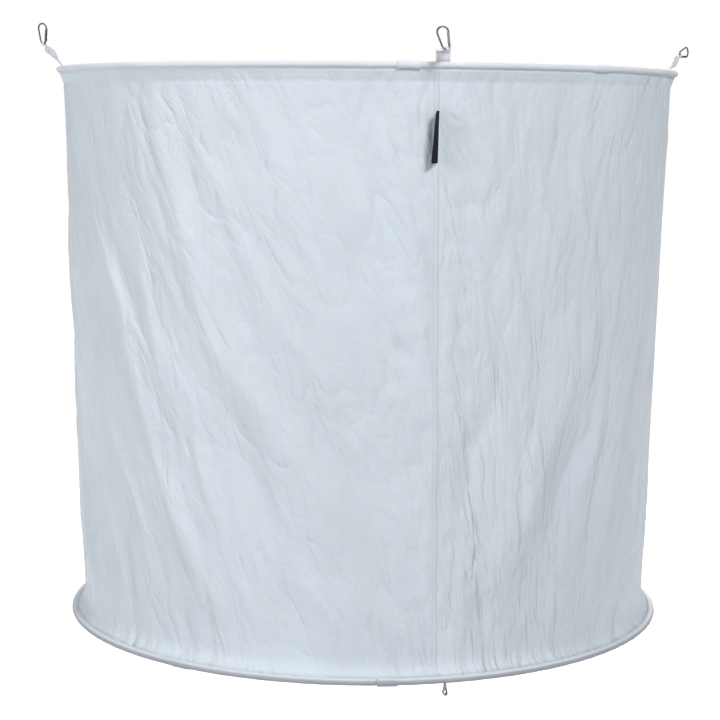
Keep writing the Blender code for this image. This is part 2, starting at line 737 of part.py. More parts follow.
def build_hooks(hoop):
    pin = HookShape().pin
    hook = drilled("snap_hook", hook_mesh(), pin, PIN_RADIUS + CLEARANCE)
    gate = drilled("hook_gate", gate_mesh(), Vector(), PIN_RADIUS + CLEARANCE)
    pin_length = TONGUE_THICKNESS + 2.0 * (CLEARANCE + GATE_WALL)
    rivet = cylinder_mesh("gate_pin", PIN_RADIUS, pin_length, 10)
    for side, station in HOOK_STATIONS.items():
        pivot = strap_pivot(station["azimuth"], hoop)
        build_tab("strap_tab_" + side, station["azimuth"], hoop)
        build_strap("strap_" + side, station, pivot)
        eye = add_empty("hook_axis_" + side, hook_matrix(station, pivot))
        swing = Matrix.Rotation(math.radians(station["tilt"]), 4, "Z")
        seat = Matrix.Translation((0.0, HOOK_NECK_RADIUS, 0.0)) @ swing
        add_object("snap_hook_" + side, hook, HOOK_STEEL, seat, eye)
        add_object("hook_gate_" + side, gate, HOOK_STEEL, seat @ Matrix.Translation(pin), eye)
        add_object("gate_pin_" + side, rivet, HOOK_STEEL, seat @ Matrix.Translation(pin), eye)


def loop_pivot(hoop):
    """Where the pull loop bends, under the lower sleeve."""
    drop = ROD_RADIUS + 2.0 * CLEARANCE + SLEEVE_WALL + LOOP_WALL
    return around(LOOP_AZIMUTH, hoop.flat_radius(), hoop.centre[1] - drop)


def build_pull_loop(hoop):
    """A short tape folded on itself into a drop-shaped loop, hanging from the lower sleeve."""
    pivot = loop_pivot(hoop)
    bulb = LOOP_THICKNESS / 2.0
    low = LOOP_LENGTH - LOOP_WALL - bulb
    steps = 7
    outer, inner = [(-LOOP_WALL, LOOP_WALL)], [(LOOP_WALL, LOOP_WALL * 0.4)]
    for step in range(steps + 1):
        angle = math.radians(100.0 - 200.0 * step / steps)
        outer.append((low + bulb * math.cos(angle), bulb * math.sin(angle)))
        hollow = bulb - LOOP_WALL
        inner.append((low + hollow * math.cos(angle), hollow * math.sin(angle)))
    outer.append((-LOOP_WALL, -LOOP_WALL))
    inner.append((LOOP_WALL, -LOOP_WALL * 0.4))
    out, along = outward(LOOP_AZIMUTH), sideways(LOOP_AZIMUTH)
    points = []
    for side in (-0.5, 0.5):
        for outline in (outer, inner):
            points += [out * side * LOOP_WIDTH + along * across - Vector((0.0, 0.0, down))
                       for down, across in outline]
    count = len(outer)
    faces = []
    for index in range(count):
        after = (index + 1) % count
        faces.append((index, after, 2 * count + after, 2 * count + index))
        faces.append((count + index, count + after, 3 * count + after, 3 * count + index))
        for base in (0, 2 * count):
            faces.append((base + index, base + after, base + count + after, base + count + index))
    add_object("pull_loop", make_mesh("pull_loop", points, faces), WEBBING, Matrix.Translation(pivot))


def make_hoops():
    upper = Hoop("upper", UPPER_HOOP_RADIUS, 0.0, (WALL_TOP_RADIUS, -UPPER_FLANGE_DROP),
                 UPPER_FERRULE_AZIMUTH, UPPER_OVERLAP_AZIMUTH,
                 [station["azimuth"] for station in HOOK_STATIONS.values()])
    lower = Hoop("lower", LOWER_HOOP_RADIUS, -HOOP_SPACING,
                 (WALL_BOTTOM_RADIUS, -HOOP_SPACING + LOWER_FLANGE_RISE),
                 LOWER_FERRULE_AZIMUTH, LOWER_OVERLAP_AZIMUTH, [LOOP_AZIMUTH])
    return upper, lower


def build():
    clear_scene()
    upper, lower = make_hoops()
    upper.build()
    lower.build()
    build_wall()
    build_label()
    build_bottom_cloth(lower)
    build_hooks(upper)
    build_pull_loop(lower)
    bpy.context.view_layer.update()


build()
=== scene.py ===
import math

import bpy
import numpy as np
from mathutils import Matrix, Vector


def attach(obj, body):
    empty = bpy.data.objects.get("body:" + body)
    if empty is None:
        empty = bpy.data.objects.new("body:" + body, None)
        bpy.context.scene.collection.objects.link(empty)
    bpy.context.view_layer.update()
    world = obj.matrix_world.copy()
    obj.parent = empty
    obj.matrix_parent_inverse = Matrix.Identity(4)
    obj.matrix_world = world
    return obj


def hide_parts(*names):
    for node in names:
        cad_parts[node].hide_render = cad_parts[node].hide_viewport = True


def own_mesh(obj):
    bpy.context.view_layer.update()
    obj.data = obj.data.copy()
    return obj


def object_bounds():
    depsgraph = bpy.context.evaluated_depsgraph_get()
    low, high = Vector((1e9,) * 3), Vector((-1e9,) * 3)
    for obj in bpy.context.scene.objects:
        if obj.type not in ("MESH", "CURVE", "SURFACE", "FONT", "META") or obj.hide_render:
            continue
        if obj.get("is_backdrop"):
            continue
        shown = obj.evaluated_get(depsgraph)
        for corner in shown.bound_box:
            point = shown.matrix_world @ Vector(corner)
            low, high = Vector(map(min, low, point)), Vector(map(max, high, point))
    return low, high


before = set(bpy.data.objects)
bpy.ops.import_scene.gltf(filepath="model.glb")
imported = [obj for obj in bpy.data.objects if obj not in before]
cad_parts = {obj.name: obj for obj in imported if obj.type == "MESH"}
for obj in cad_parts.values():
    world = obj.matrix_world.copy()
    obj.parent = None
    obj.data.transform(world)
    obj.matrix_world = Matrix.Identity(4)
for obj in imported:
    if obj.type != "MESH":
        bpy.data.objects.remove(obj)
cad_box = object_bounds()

# Lengths are in metres. Heights are from the upper hoop's middle, and an azimuth in degrees turns from -Y to +X.
MM = 0.001
FULL = 2.0 * math.pi
# (radius, height) of the two rods' middle lines and of the skirt's two sewn ends
UPPER_HOOP = (595.0 * MM, 0.0)
LOWER_HOOP = (580.0 * MM, -1052.0 * MM)
WALL_TOP = (586.0 * MM, -27.0 * MM)
WALL_FOOT = (558.0 * MM, -1034.0 * MM)
# The visible wall runs on behind both sewn ends, up to these heights inside the sleeves' lips
WALL_EDGES = (-7.5 * MM, -1046.8 * MM)
WALL_RADIUS = 572.0 * MM
CLOTH = 0.8 * MM
# Azimuths: the wall's seam halfway down and how far it turns on its way, the ferrules, where each sleeve
# overlaps itself, and the pull loop
SEAM, SEAM_SLANT = 12.0, 1.6
UPPER_FERRULE, LOWER_FERRULE = 42.7, -33.8
UPPER_OVERLAP, LOWER_OVERLAP = 6.5, 4.2
HALF_OVERLAP = 1.75
LOOP = 14.3
# From a rod's middle to its sleeve's face: the rod 3.5, a gap 0.6 and the cloth 1.2
SLEEVE_FACE = 5.3 * MM
# A hoop is flat where something is sewn to its sleeve; the distance of its rod from the axis there
UPPER_FLAT = UPPER_HOOP[0] * math.cos(math.radians(1.493))
LOWER_FLAT = LOWER_HOOP[0] * math.cos(math.radians(1.531))
# Each strap: where it is sewn, how far it leans out and sideways and twists, and how its hook folds and tilts
STATIONS = {
    "front": {"azimuth": 12.2, "lean": 72.0, "skew": -7.0, "twist": 21.0, "fold": -79.0, "tilt": -10.0,
              "arch": 12.0 * MM},
    "right": {"azimuth": 92.5, "lean": 45.0, "skew": 33.0, "twist": -56.0, "fold": -8.0, "tilt": -26.0},
    "rear": {"azimuth": 192.4, "lean": 82.0, "skew": 0.0, "twist": 12.0, "fold": 30.0, "tilt": 4.0},
    "left": {"azimuth": -79.0, "lean": 40.0, "skew": 23.0, "twist": 45.0, "fold": -38.0, "tilt": -15.0},
}
WEBBING_WIDTH = 25.0 * MM
EYE_WIDTH = 5.2 * MM
RING_COLUMNS = 540
STRAP_LENGTH = 58.0 * MM
STRAP_NECK = STRAP_LENGTH - 3.4 * MM
WIRE = 1.6 * MM
NECK = 6.0 * MM

# The folds that cross the wall: a line of (azimuth, mm below the upper hoop), then its width and how far it stands
# out, both in mm
FOLDS = [
    ([(-41.4, 43), (-33.0, 280), (-28.2, 468), (-17.4, 583), (-9.4, 710), (-0.5, 920), (6.6, 1010)], 20, 6.0),
    ([(-36.1, 43), (-31.0, 152), (-30.3, 271)], 9, -2.5),
    ([(-65.5, 113), (-49.1, 430), (-39.8, 719), (-29.9, 942), (-25.8, 1010)], 20, 6.5),
    ([(-58.2, 283), (-48.3, 565), (-37.5, 779)], 12, -3.0),
    ([(-44.4, 268), (-39.6, 503), (-38.2, 617)], 12, 3.0),
    ([(-33.9, 402), (-24.9, 579), (-18.4, 671), (-14.8, 819)], 12, -3.5),
    ([(-38.6, 422), (-31.3, 646), (-22.5, 906), (-18.7, 983)], 13, 4.0),
    ([(-34.4, 43), (-23.4, 235), (-17.1, 377), (-13.7, 444), (-6.8, 527), (-4.2, 665), (-2.4, 752)], 10, 4.0),
    ([(-10.9, 59), (-4.3, 281), (-0.9, 407)], 14, 4.0),
    ([(-4.3, 141), (0.7, 314), (5.8, 432), (10.2, 484)], 11, 4.0),
    ([(0.5, 58), (5.5, 206), (10.0, 365), (11.4, 458)], 13, 5.5),
    ([(-1.1, 91), (3.1, 264), (7.5, 390)], 14, -4.0),
    ([(3.4, 526), (11.3, 613)], 9, 3.0),
    ([(-36.2, 750), (-28.8, 913), (-27.9, 1003)], 12, 4.0),
    ([(-24.0, 605), (-16.6, 758), (-14.8, 845)], 12, -3.0),
    ([(18.9, 114), (26.9, 274)], 11, 3.5),
    ([(29.3, 131), (31.8, 241), (35.7, 354)], 9, 3.0),
    ([(38.0, 148), (41.2, 269), (44.7, 376)], 9, 3.5),
    ([(47.5, 355), (42.7, 482), (37.5, 576), (32.9, 688), (28.5, 820), (25.0, 950)], 34, 9.5),
    ([(53.9, 247), (48.8, 514), (44.1, 783), (41.3, 880)], 12, 4.5),
    ([(62.1, 453), (54.1, 704), (50.5, 886)], 11, 4.0),
    ([(43.5, 599), (39.1, 730), (34.0, 915), (28.9, 1019)], 17, -6.5),
    ([(23.1, 565), (18.6, 659), (18.0, 774)], 9, -3.0),
    ([(37.1, 828), (33.0, 942), (27.8, 1020)], 13, 4.5),
    ([(-14.8, 836), (-7.6, 913), (-0.5, 1009)], 10, 3.5),
    ([(-3.2, 831), (1.2, 919), (10.3, 1011)], 11, 4.0),
    ([(4.6, 804), (6.5, 893), (8.9, 993)], 8, 2.5),
    ([(-34.0, 802), (-26.6, 919), (-22.7, 1015)], 10, 3.0),
    ([(20.3, 900), (23.7, 1020)], 12, -4.0),
    ([(-7.6, 735), (-4.1, 831), (-2.3, 858)], 9, -2.5),
    ([(13.5, 33), (18.9, 114), (20.9, 189)], 8, 2.5),
    ([(11.4, 214), (16.7, 264), (20.6, 366)], 9, 2.5),
    ([(-22.1, 43), (-17.8, 134), (-15.3, 266)], 10, -2.5),
    ([(4.2, 458), (9.4, 501)], 8, -4.0),
    ([(-56.8, 613), (-47.1, 766), (-40.5, 875)], 10, 3.0),
]
# Those right of this azimuth are drawn deeper, by this factor
DEEP_SIDE, DEEPER = 16.0, 1.45
# Chance folds: how many, longest and shortest in metres, widest, narrowest and highest in mm, and the azimuth
# either side of the front that they leave free
CHANCE_FOLDS = ((80, 0.55, 0.2, 15.0, 8.0, 5.0, 70.0), (420, 0.24, 0.06, 7.0, 3.0, 2.0, 0.0))


def around(azimuth, radius, height):
    turn = math.radians(azimuth)
    return Vector((radius * math.sin(turn), -radius * math.cos(turn), height))


def outward(azimuth):
    return around(azimuth, 1.0, 0.0)


def sideways(azimuth):
    return outward(azimuth + 90.0)


def smooth(low, high, value):
    share = np.clip((value - low) / (high - low), 0.0, 1.0)
    return share * share * (3.0 - 2.0 * share)


def bell(away, width):
    return np.exp(-0.5 * (away / width) ** 2)


def turn_from(first, second):
    """The turn from the second azimuth to the first, the short way round."""
    return (first - second + 180.0) % 360.0 - 180.0


def deselect():
    bpy.ops.object.select_all(action="DESELECT")


def edit_mode():
    bpy.ops.object.mode_set(mode="EDIT")


def object_mode():
    bpy.ops.object.mode_set(mode="OBJECT")


def dress(made, material):
    made.data.materials.clear()
    made.data.materials.append(material)


# Materials

def put(tree, socket, value):
    """Links a node's output to a socket, or sets the socket to a plain value."""
    if hasattr(value, "is_output"):
        tree.links.new(value, socket)
    else:
        socket.default_value = value


def fill(tree, made, **inputs):
    """Gives a node's inputs their values; an underscore in a keyword stands for a space."""
    for key, value in inputs.items():
        put(tree, made.inputs[key.replace("_", " ")], value)


def node(tree, kind, settings=None, **inputs):
    made = tree.nodes.new(kind)
    for key, value in (settings or {}).items():
        setattr(made, key, value)
    fill(tree, made, **inputs)
    return made


def maths(tree, operation, *values):
    made = node(tree, "ShaderNodeMath", {"operation": operation})
    for socket, value in zip(made.inputs, values):
        put(tree, socket, value)
    return made.outputs[0]


def new_material(name, colour, roughness, metallic=0.0):
    made = bpy.data.materials.new(name)
    made.use_nodes = True
    tree = made.node_tree
    shader = tree.nodes["Principled BSDF"]
    fill(tree, shader, Base_Color=(*colour, 1.0), Roughness=roughness, Metallic=metallic)
    return made, tree, shader


def cloth_uv(tree, scale=(1.0, 1.0, 1.0), layer="cloth"):
    place = node(tree, "ShaderNodeUVMap", {"uv_map": layer}).outputs[0]
    return node(tree, "ShaderNodeMapping", Vector=place, Scale=scale).outputs[0]


def woven_height(tree, pitch):
    """Warp and weft threads that pass over each other, from the cloth's own UV in metres."""
    scale = 0.314 / pitch
    place = cloth_uv(tree)
    threads = (node(tree, "ShaderNodeTexWave", {"bands_direction": way}, Vector=place, Scale=scale, Distortion=0.4,
                    Detail=1.0).outputs["Fac"] for way in ("X", "Y"))
    return maths(tree, "MULTIPLY", *threads)


def bump(tree, strength, depth, height, below=None):
    """The normal of a surface raised by a height map, on top of another such normal where one is given."""
    under = {} if below is None else {"Normal": below}
    made = node(tree, "ShaderNodeBump", Strength=strength, Distance=depth, Height=height, **under)
    return made.outputs["Normal"]


def shaded(colour, factor):
    return tuple(min(1.0, value * factor) for value in colour)


def spread(tree, value, settings=None, **limits):
    """A value moved from one range to another; both are 0 to 1 where no limit is given."""
    return node(tree, "ShaderNodeMapRange", settings, Value=value, **limits).outputs["Result"]


def noise(tree, place, scale, detail, **inputs):
    return node(tree, "ShaderNodeTexNoise", Vector=place, Scale=scale, Detail=detail, **inputs).outputs["Fac"]


def ramp(tree, factor, low, high, first=0.3, last=0.7):
    made = node(tree, "ShaderNodeValToRGB", Fac=factor)
    for element, place, colour in zip(made.color_ramp.elements, (first, last), (low, high)):
        element.position = place
        element.color = (*colour, 1.0)
    return made.outputs["Color"]


def skirt_cloth(name, colour, crumple, layer="cloth"):
    """Thin white nylon: a fine weave, sharp small crumples along the folds and a faint cloudiness."""
    made, tree, shader = new_material(name, colour, 0.5)
    normal, heights = None, []
    for across, down, warp, depth in ((8.0, 2.8, 0.6, 5.5), (20.0, 8.0, 1.0, 2.0), (52.0, 28.0, 1.3, 0.5)):
        height = node(tree, "ShaderNodeTexNoise", {"noise_type": "RIDGED_MULTIFRACTAL"},
                      Vector=cloth_uv(tree, (across, down, 1.0), layer), Scale=1.0, Detail=2.5, Roughness=0.4,
                      Lacunarity=2.1, Offset=0.9, Gain=1.6, Distortion=warp).outputs["Fac"]
        heights.append(height)
        normal = bump(tree, crumple, depth * MM, height, normal)
    clouds = noise(tree, cloth_uv(tree, (4.8, 2.4, 1.0), layer), 1.0, 5.0, Roughness=0.6)
    normal = bump(tree, 0.35, 0.12 * MM, woven_height(tree, 1.1 * MM), normal)
    fill(tree, shader, Sheen_Weight=0.12, Sheen_Roughness=0.5, Specular_IOR_Level=0.35, Normal=normal,
         Base_Color=ramp(tree, clouds, shaded(colour, 0.95), shaded(colour, 1.05)),
         Roughness=spread(tree, heights[1], To_Min=0.6, To_Max=0.42))
    return made


def stitch_band(tree, place, middle, half_width, pitch):
    """1 on the threads of one row of stitches at a distance across the strip, else 0."""
    parts = node(tree, "ShaderNodeSeparateXYZ", Vector=place)
    off = maths(tree, "ABSOLUTE", maths(tree, "SUBTRACT", parts.outputs["Y"], middle))
    row = maths(tree, "LESS_THAN", off, half_width)
    along = maths(tree, "FRACT", maths(tree, "MULTIPLY", parts.outputs["X"], 1.0 / pitch))
    thread = maths(tree, "LESS_THAN", along, 0.68)
    return maths(tree, "MULTIPLY", row, thread)


def binding_cloth(name, colour, rows, upper=None):
    """Closely woven binding tape with rows of stitches along it; where an upper colour is given, a painted
    highlight gives the tape that colour where it faces up.
    """
    made, tree, shader = new_material(name, colour, 0.62)
    place = cloth_uv(tree)
    pucker = noise(tree, cloth_uv(tree, (90.0, 30.0, 1.0)), 1.0, 3.0, Roughness=0.55)
    threads = maths(tree, "MAXIMUM", *(stitch_band(tree, place, middle, 0.55 * MM, 3.6 * MM) for middle in rows))
    normal = bump(tree, 0.5, 1.0 * MM, pucker)
    normal = bump(tree, 0.5, 0.15 * MM, woven_height(tree, 0.9 * MM), normal)
    normal = bump(tree, 0.8, 0.35 * MM, threads, normal)
    tone = ramp(tree, noise(tree, place, 9.0, 4.0), shaded(colour, 0.95), shaded(colour, 1.04))
    # Painted light: the upper colour is blended in on the faces that point up, as if lit from above
    if upper is not None:
        facing = node(tree, "ShaderNodeTexCoord").outputs["Normal"]
        facing = node(tree, "ShaderNodeSeparateXYZ", Vector=facing).outputs["Z"]
        share = spread(tree, facing, From_Min=0.5, From_Max=0.95)
        blended = node(tree, "ShaderNodeMix", {"data_type": "RGBA"})
        # A colour mix has its factor as input 0, its colours as 6 and 7 and its result as output 2
        for number, value in ((0, share), (6, tone), (7, (*upper, 1.0))):
            put(tree, blended.inputs[number], value)
        tone = blended.outputs[2]
    fill(tree, shader, Sheen_Weight=0.15, Normal=normal, Base_Color=tone)
    return made


def webbing_cloth(name, colour, rib=1.7, sheen=0.2, specular=0.4):
    """Ribbed webbing: slanting cross ribs over fine cords along it; pale webbing lets light into itself."""
    made, tree, shader = new_material(name, colour, 0.78)
    if min(colour) > 0.5:
        fill(tree, shader, Subsurface_Weight=0.6, Subsurface_Radius=(1.0, 1.0, 1.0), Subsurface_Scale=4.0 * MM)
    place = cloth_uv(tree)
    parts = node(tree, "ShaderNodeSeparateXYZ", Vector=place)
    across = maths(tree, "ABSOLUTE", parts.outputs["X"])
    slanted = maths(tree, "ADD", parts.outputs["Y"], maths(tree, "MULTIPLY", across, 0.55))
    ribs = maths(tree, "SINE", maths(tree, "MULTIPLY", slanted, FULL / (rib * MM)))
    cords = maths(tree, "SINE", maths(tree, "MULTIPLY", parts.outputs["X"], FULL / (1.25 * MM)))
    height = maths(tree, "ADD", maths(tree, "MULTIPLY", ribs, 0.6), maths(tree, "MULTIPLY", cords, 0.4))
    fuzz = noise(tree, place, 1400.0, 2.0)
    # Painted shade: the colour darkens down in the valleys between the ribs and cords
    tone = spread(tree, height, From_Min=-1.0)
    fill(tree, shader, Sheen_Weight=sheen, Specular_IOR_Level=specular,
         Normal=bump(tree, 0.25, 0.15 * MM, fuzz, bump(tree, 0.6, 0.14 * MM, height)),
         Base_Color=ramp(tree, tone, shaded(colour, 0.9), colour, 0.1, 0.75))
    return made


def wire_steel(name, colour, roughness):
    """Plated wire with fine draw marks and a little wear in its shine."""
    made, tree, shader = new_material(name, colour, roughness, 1.0)
    place = node(tree, "ShaderNodeTexCoord").outputs["Object"]
    marks = noise(tree, place, 900.0, 3.0, Roughness=0.6)
    wear = noise(tree, place, 130.0, 4.0, Roughness=0.6)
    fill(tree, shader, Roughness=spread(tree, wear, To_Min=roughness * 0.75, To_Max=roughness * 1.35),
         Normal=bump(tree, 0.12, 0.05 * MM, marks), Base_Color=ramp(tree, wear, shaded(colour, 0.8), colour))
    return made


SKIRT = skirt_cloth("skirt cloth", (0.70, 0.76, 0.81), 0.84, "folds")
FOOT_CLOTH = skirt_cloth("foot cloth", (0.72, 0.77, 0.81), 0.35)
FLANGE = skirt_cloth("flange cloth", (0.73, 0.78, 0.82), 0.4)
TAPE = binding_cloth("seam tape cloth", (0.68, 0.74, 0.79), (-3.4 * MM, 3.4 * MM))
SLEEVE = binding_cloth("sleeve cloth", (0.78, 0.80, 0.85), (3.2 * MM, -3.2 * MM))
# The lower sleeve's dark grey is painted shade; its lighter colour where it faces up is a painted highlight
FOOT_SLEEVE_PAINTED_SHADE = binding_cloth("lower sleeve cloth with painted shade", (0.42, 0.44, 0.47), (3.2 * MM, -3.2 * MM),
                            (0.76, 0.79, 0.83))
WEBBING = webbing_cloth("strap webbing", (0.84, 0.82, 0.88))
# The pull loop's mid-grey is painted shade, for the shade it hangs in below the lower hoop
LOOP_TAPE_PAINTED_SHADE = webbing_cloth("pull loop tape with painted shade", (0.42, 0.42, 0.46), 1.4)
LABEL = webbing_cloth("black label weave", (0.009, 0.010, 0.014), 0.7, 0.0, 0.12)
HOOK_STEEL = wire_steel("dark nickel wire", (0.15, 0.15, 0.145), 0.3)
ROD_STEEL = wire_steel("spring steel", (0.50, 0.51, 0.53), 0.32)


# Cloth pieces, made as grids that carry their own flat measure as UV

def link_object(name, data):
    made = bpy.data.objects.new(name, data)
    bpy.context.scene.collection.objects.link(made)
    return made


def sheet_mesh(name, grid, thickness, wrap, across, down, material, drift=None):
    """A closed thin sheet from rows and columns of points; UV holds metres across and down the cloth.

    Where a drift is given, a second UV follows the slant of the folds.
    """
    rows, columns = grid.shape[:2]
    if wrap:
        ahead = np.roll(grid, -1, 1) - np.roll(grid, 1, 1)
    else:
        ahead = np.gradient(grid, axis=1)
    fall = np.gradient(grid, axis=0)
    normal = np.cross(fall, ahead)
    normal = -normal / np.linalg.norm(normal, axis=2, keepdims=True)
    half = np.broadcast_to(np.asarray(thickness, float) / 2.0, (rows, columns))[..., None]
    points = np.stack([grid + normal * half, grid - normal * half]).reshape(-1, 3)
    faces, spots = [], []

    def add(*corners):
        faces.append([(layer * rows + row) * columns + column % columns for layer, row, column in corners])
        spots.extend((row, column) for _, row, column in corners)

    last = columns if wrap else columns - 1
    foot, edge = rows - 1, columns - 1
    for row in range(rows - 1):
        for column in range(last):
            add((0, row + 1, column), (0, row + 1, column + 1), (0, row, column + 1), (0, row, column))
            add((1, row, column), (1, row, column + 1), (1, row + 1, column + 1), (1, row + 1, column))
    for column in range(last):
        add((0, 0, column), (0, 0, column + 1), (1, 0, column + 1), (1, 0, column))
        add((1, foot, column), (1, foot, column + 1), (0, foot, column + 1), (0, foot, column))
    if not wrap:
        for row in range(rows - 1):
            add((0, row, 0), (1, row, 0), (1, row + 1, 0), (0, row + 1, 0))
            add((0, row + 1, edge), (1, row + 1, edge), (1, row, edge), (0, row, edge))
    mesh = bpy.data.meshes.new(name)
    mesh.from_pydata(points.tolist(), [], faces)
    at = tuple(np.array(spots).T)
    places = {"cloth": np.stack([across[at], down[at]], 1)}
    if drift is not None:
        places["folds"] = np.stack([across[at] - drift[at], down[at]], 1)
    for layer, values in places.items():
        mesh.uv_layers.new(name=layer).data.foreach_set("uv", values.ravel())
    mesh.validate()
    mesh.shade_smooth()
    mesh.materials.append(material)
    return link_object(name, mesh)


def run_along(points):
    """Metres from the first point of a line to each."""
    return np.concatenate([[0.0], np.cumsum(np.linalg.norm(np.diff(points, axis=0), axis=1))])


def flat_measures(grid):
    """Metres across and down for each point of a closed grid, with its first column once more at the end."""
    across = run_along(np.concatenate([grid, grid[:, :1]], 1).mean(0))
    down = run_along(grid[:, 0])
    return np.tile(across, (len(down), 1)), np.tile(down[:, None], (1, len(across)))


def fold_height(across, height, line, width, rise):
    """How far one fold lifts the cloth: two nearly flat panels that meet in a sharp crest along a line."""
    girth = FULL * WALL_RADIUS
    knots = [(math.radians(azimuth - SEAM) * WALL_RADIUS, -place) for azimuth, place in line]
    nearest = np.full(across.shape, 1e9)
    side = np.zeros(across.shape)
    share = np.zeros(across.shape)
    lengths = [math.dist(first, last) for first, last in zip(knots, knots[1:])]
    total, gone = sum(lengths), 0.0
    for first, last, length in zip(knots, knots[1:], lengths):
        run = ((last[0] - first[0]) / length, (last[1] - first[1]) / length)
        dx = (across - first[0] + girth / 2.0) % girth - girth / 2.0
        dy = -height - first[1]
        along = np.clip(dx * run[0] + dy * run[1], 0.0, length)
        off_x, off_y = dx - run[0] * along, dy - run[1] * along
        distance = np.hypot(off_x, off_y)
        closer = distance < nearest
        nearest = np.where(closer, distance, nearest)
        side = np.where(closer, run[1] * off_x - run[0] * off_y, side)
        share = np.where(closer, (gone + along) / total, share)
        gone += length
    steep, gentle, crest = 2.2, 4.0, 1.5 * MM
    reach = np.where(side > 0.0, steep, gentle) * width * MM
    envelope = smooth(0.0, 0.3, share) * smooth(0.0, 0.3, 1.0 - share) * 0.8 + 0.2
    away = np.hypot(nearest, crest) - crest
    return 1.25 * rise * MM * envelope * np.clip(1.0 - away / reach, 0.0, 1.0) ** 1.5


def gathers(azimuth, down):
    """Short slanting gathers where the cloth is eased into a hoop's seam, down in metres from it."""
    turn = np.radians(azimuth)
    along = turn * WALL_TOP[0] + 0.45 * down
    broad, narrow = 34.0 * MM, 20.5 * MM
    wave = 0.6 * np.sin(along * FULL / broad + 1.7 * np.sin(turn * 5.0))
    wave = wave + 0.4 * np.sin(along * FULL / narrow + 2.3 * np.sin(turn * 3.0))
    return wave * (0.55 + 0.45 * np.sin(turn * 4.0 + 0.6))


def fold_slant(azimuth):
    """How far the folds run sideways for each metre down: one way on the left, the other way on the right."""
    turn = turn_from(azimuth, 28.0)
    return 0.29 - 0.47 * smooth(-22.0, 22.0, turn) + 0.47 * smooth(110.0, 150.0, turn)


def wall_bulge(azimuth, height):
    """How far the wall stands out from its plain taper."""
    across = np.radians(turn_from(azimuth, SEAM)) * WALL_RADIUS
    beside = np.radians(turn_from(azimuth, seam_azimuth(height))) * WALL_RADIUS
    down = WALL_TOP[1] - height
    bulge = np.zeros(azimuth.shape)
    for line, width, rise in FOLDS:
        deeper = DEEPER if line[0][0] > DEEP_SIDE else 1.0
        line = [(azimuth_there, -below * MM) for azimuth_there, below in line]
        bulge += fold_height(across, height, line, width, rise * deeper)
    chance = np.random.default_rng(41)
    for count, longest, shortest, widest, finest, most, free in CHANCE_FOLDS:
        for _ in range(count):
            start = chance.uniform(-180.0, 180.0)
            if abs(start) < free:
                start += 180.0
            place = -chance.uniform(0.02, 0.95)
            length = chance.uniform(shortest, longest)
            slant = fold_slant(start) + chance.normal(0.0, 0.2)
            drop = length / math.hypot(1.0, slant)
            turn = math.degrees(slant * drop / WALL_RADIUS)
            rise = chance.uniform(0.3, 1.0) * most * (1.0 if chance.random() < 0.6 else -0.8)
            line = [(start, place), (start + turn * 0.5 + chance.normal(0.0, 0.8), place - drop * 0.5),
                    (start + turn, max(-1.03, place - drop))]
            bulge += fold_height(across, height, line, chance.uniform(finest, widest), rise)
    # The seam puckers the cloth beside it and holds it flat underneath, and the sewn ends let no fold through
    pucker = np.sin(-height * FULL / 0.052 + beside * 40.0) + 0.6 * np.sin(-height * FULL / 0.031)
    bulge += 0.8 * MM * pucker * bell(beside, 45.0 * MM) * (1.0 - bell(beside, 8.0 * MM))
    tied = 1.0 - 0.85 * bell(beside, 9.0 * MM)
    up = height - WALL_FOOT[1]
    held = smooth(0.0, 0.07, down) * smooth(0.0, 0.11, up)
    top = 0.9 * MM * gathers(azimuth, down) * np.exp(-np.abs(down) / 0.035)
    top = top * (0.25 + 0.75 * smooth(-0.019, -0.002, down))
    foot = 0.5 * MM * gathers(azimuth + 40.0, up) * np.exp(-up / 0.03)
    return bulge * tied * held + top + foot


def seam_azimuth(height):
    return SEAM + SEAM_SLANT * ((WALL_TOP[1] - height) / (WALL_TOP[1] - WALL_FOOT[1]) - 0.5)


def wall_radius(azimuth, height):
    share = (WALL_TOP[1] - height) / (WALL_TOP[1] - WALL_FOOT[1])
    radius = WALL_TOP[0] + (WALL_FOOT[0] - WALL_TOP[0]) * share
    # Both ends spread out to their sleeves, the foot in a flare, and the upper seam draws a groove
    flare = 15.4 * MM * np.clip((-1.0 - height) / 0.046, 0.0, 1.1) ** 4.4
    collar = 7.0 * MM * np.clip((height + 0.040) / 0.0325, 0.0, 1.1) ** 2
    seam = 1.3 * MM * bell(height - WALL_TOP[1], 2.2 * MM)
    return radius + flare + collar - seam + wall_bulge(azimuth, height)


def ring_grid(azimuths, radius, height):
    """Points at an azimuth, a radius and a height each."""
    turn = np.radians(azimuths)
    return np.stack([radius * np.sin(turn), -radius * np.cos(turn), height], 2)


def round_azimuths(rows, columns):
    return np.tile(np.arange(columns) * 360.0 / columns, (rows, 1))


def make_wall():
    """The skirt, in columns that slant with its seam; they are closer at the front, and the rows at both ends."""
    columns = 450
    even = np.linspace(-180.0, 180.0, 3601)
    packed = np.cumsum(1.0 + 0.4 * np.cos(np.radians(even)))
    packed = (packed - packed[0]) / (packed[-1] - packed[0])
    places = np.interp(np.arange(columns) / columns, packed, even)
    places = np.sort((places - places[np.argmin(np.abs(places - SEAM))]) % 360.0)
    top, foot = WALL_EDGES
    steps = np.concatenate([np.linspace(0.0, 0.03, 9), np.linspace(0.03, 0.955, 89)[1:],
                            np.linspace(0.955, 1.0, 9)[1:]])
    heights = np.tile((top + (foot - top) * steps)[:, None], (1, columns))
    azimuths = seam_azimuth(heights) + places[None, :]
    grid = ring_grid(azimuths, wall_radius(azimuths, heights), heights)
    across, down = flat_measures(grid)
    slants = fold_slant(SEAM + np.append(places, 360.0))[None, :]
    made = sheet_mesh("skirt_wall_cloth", grid, CLOTH * 0.8, True, across, down, SKIRT, slants * down)
    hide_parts("skirt_wall")
    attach(made, "upper_frame")
    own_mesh(made)


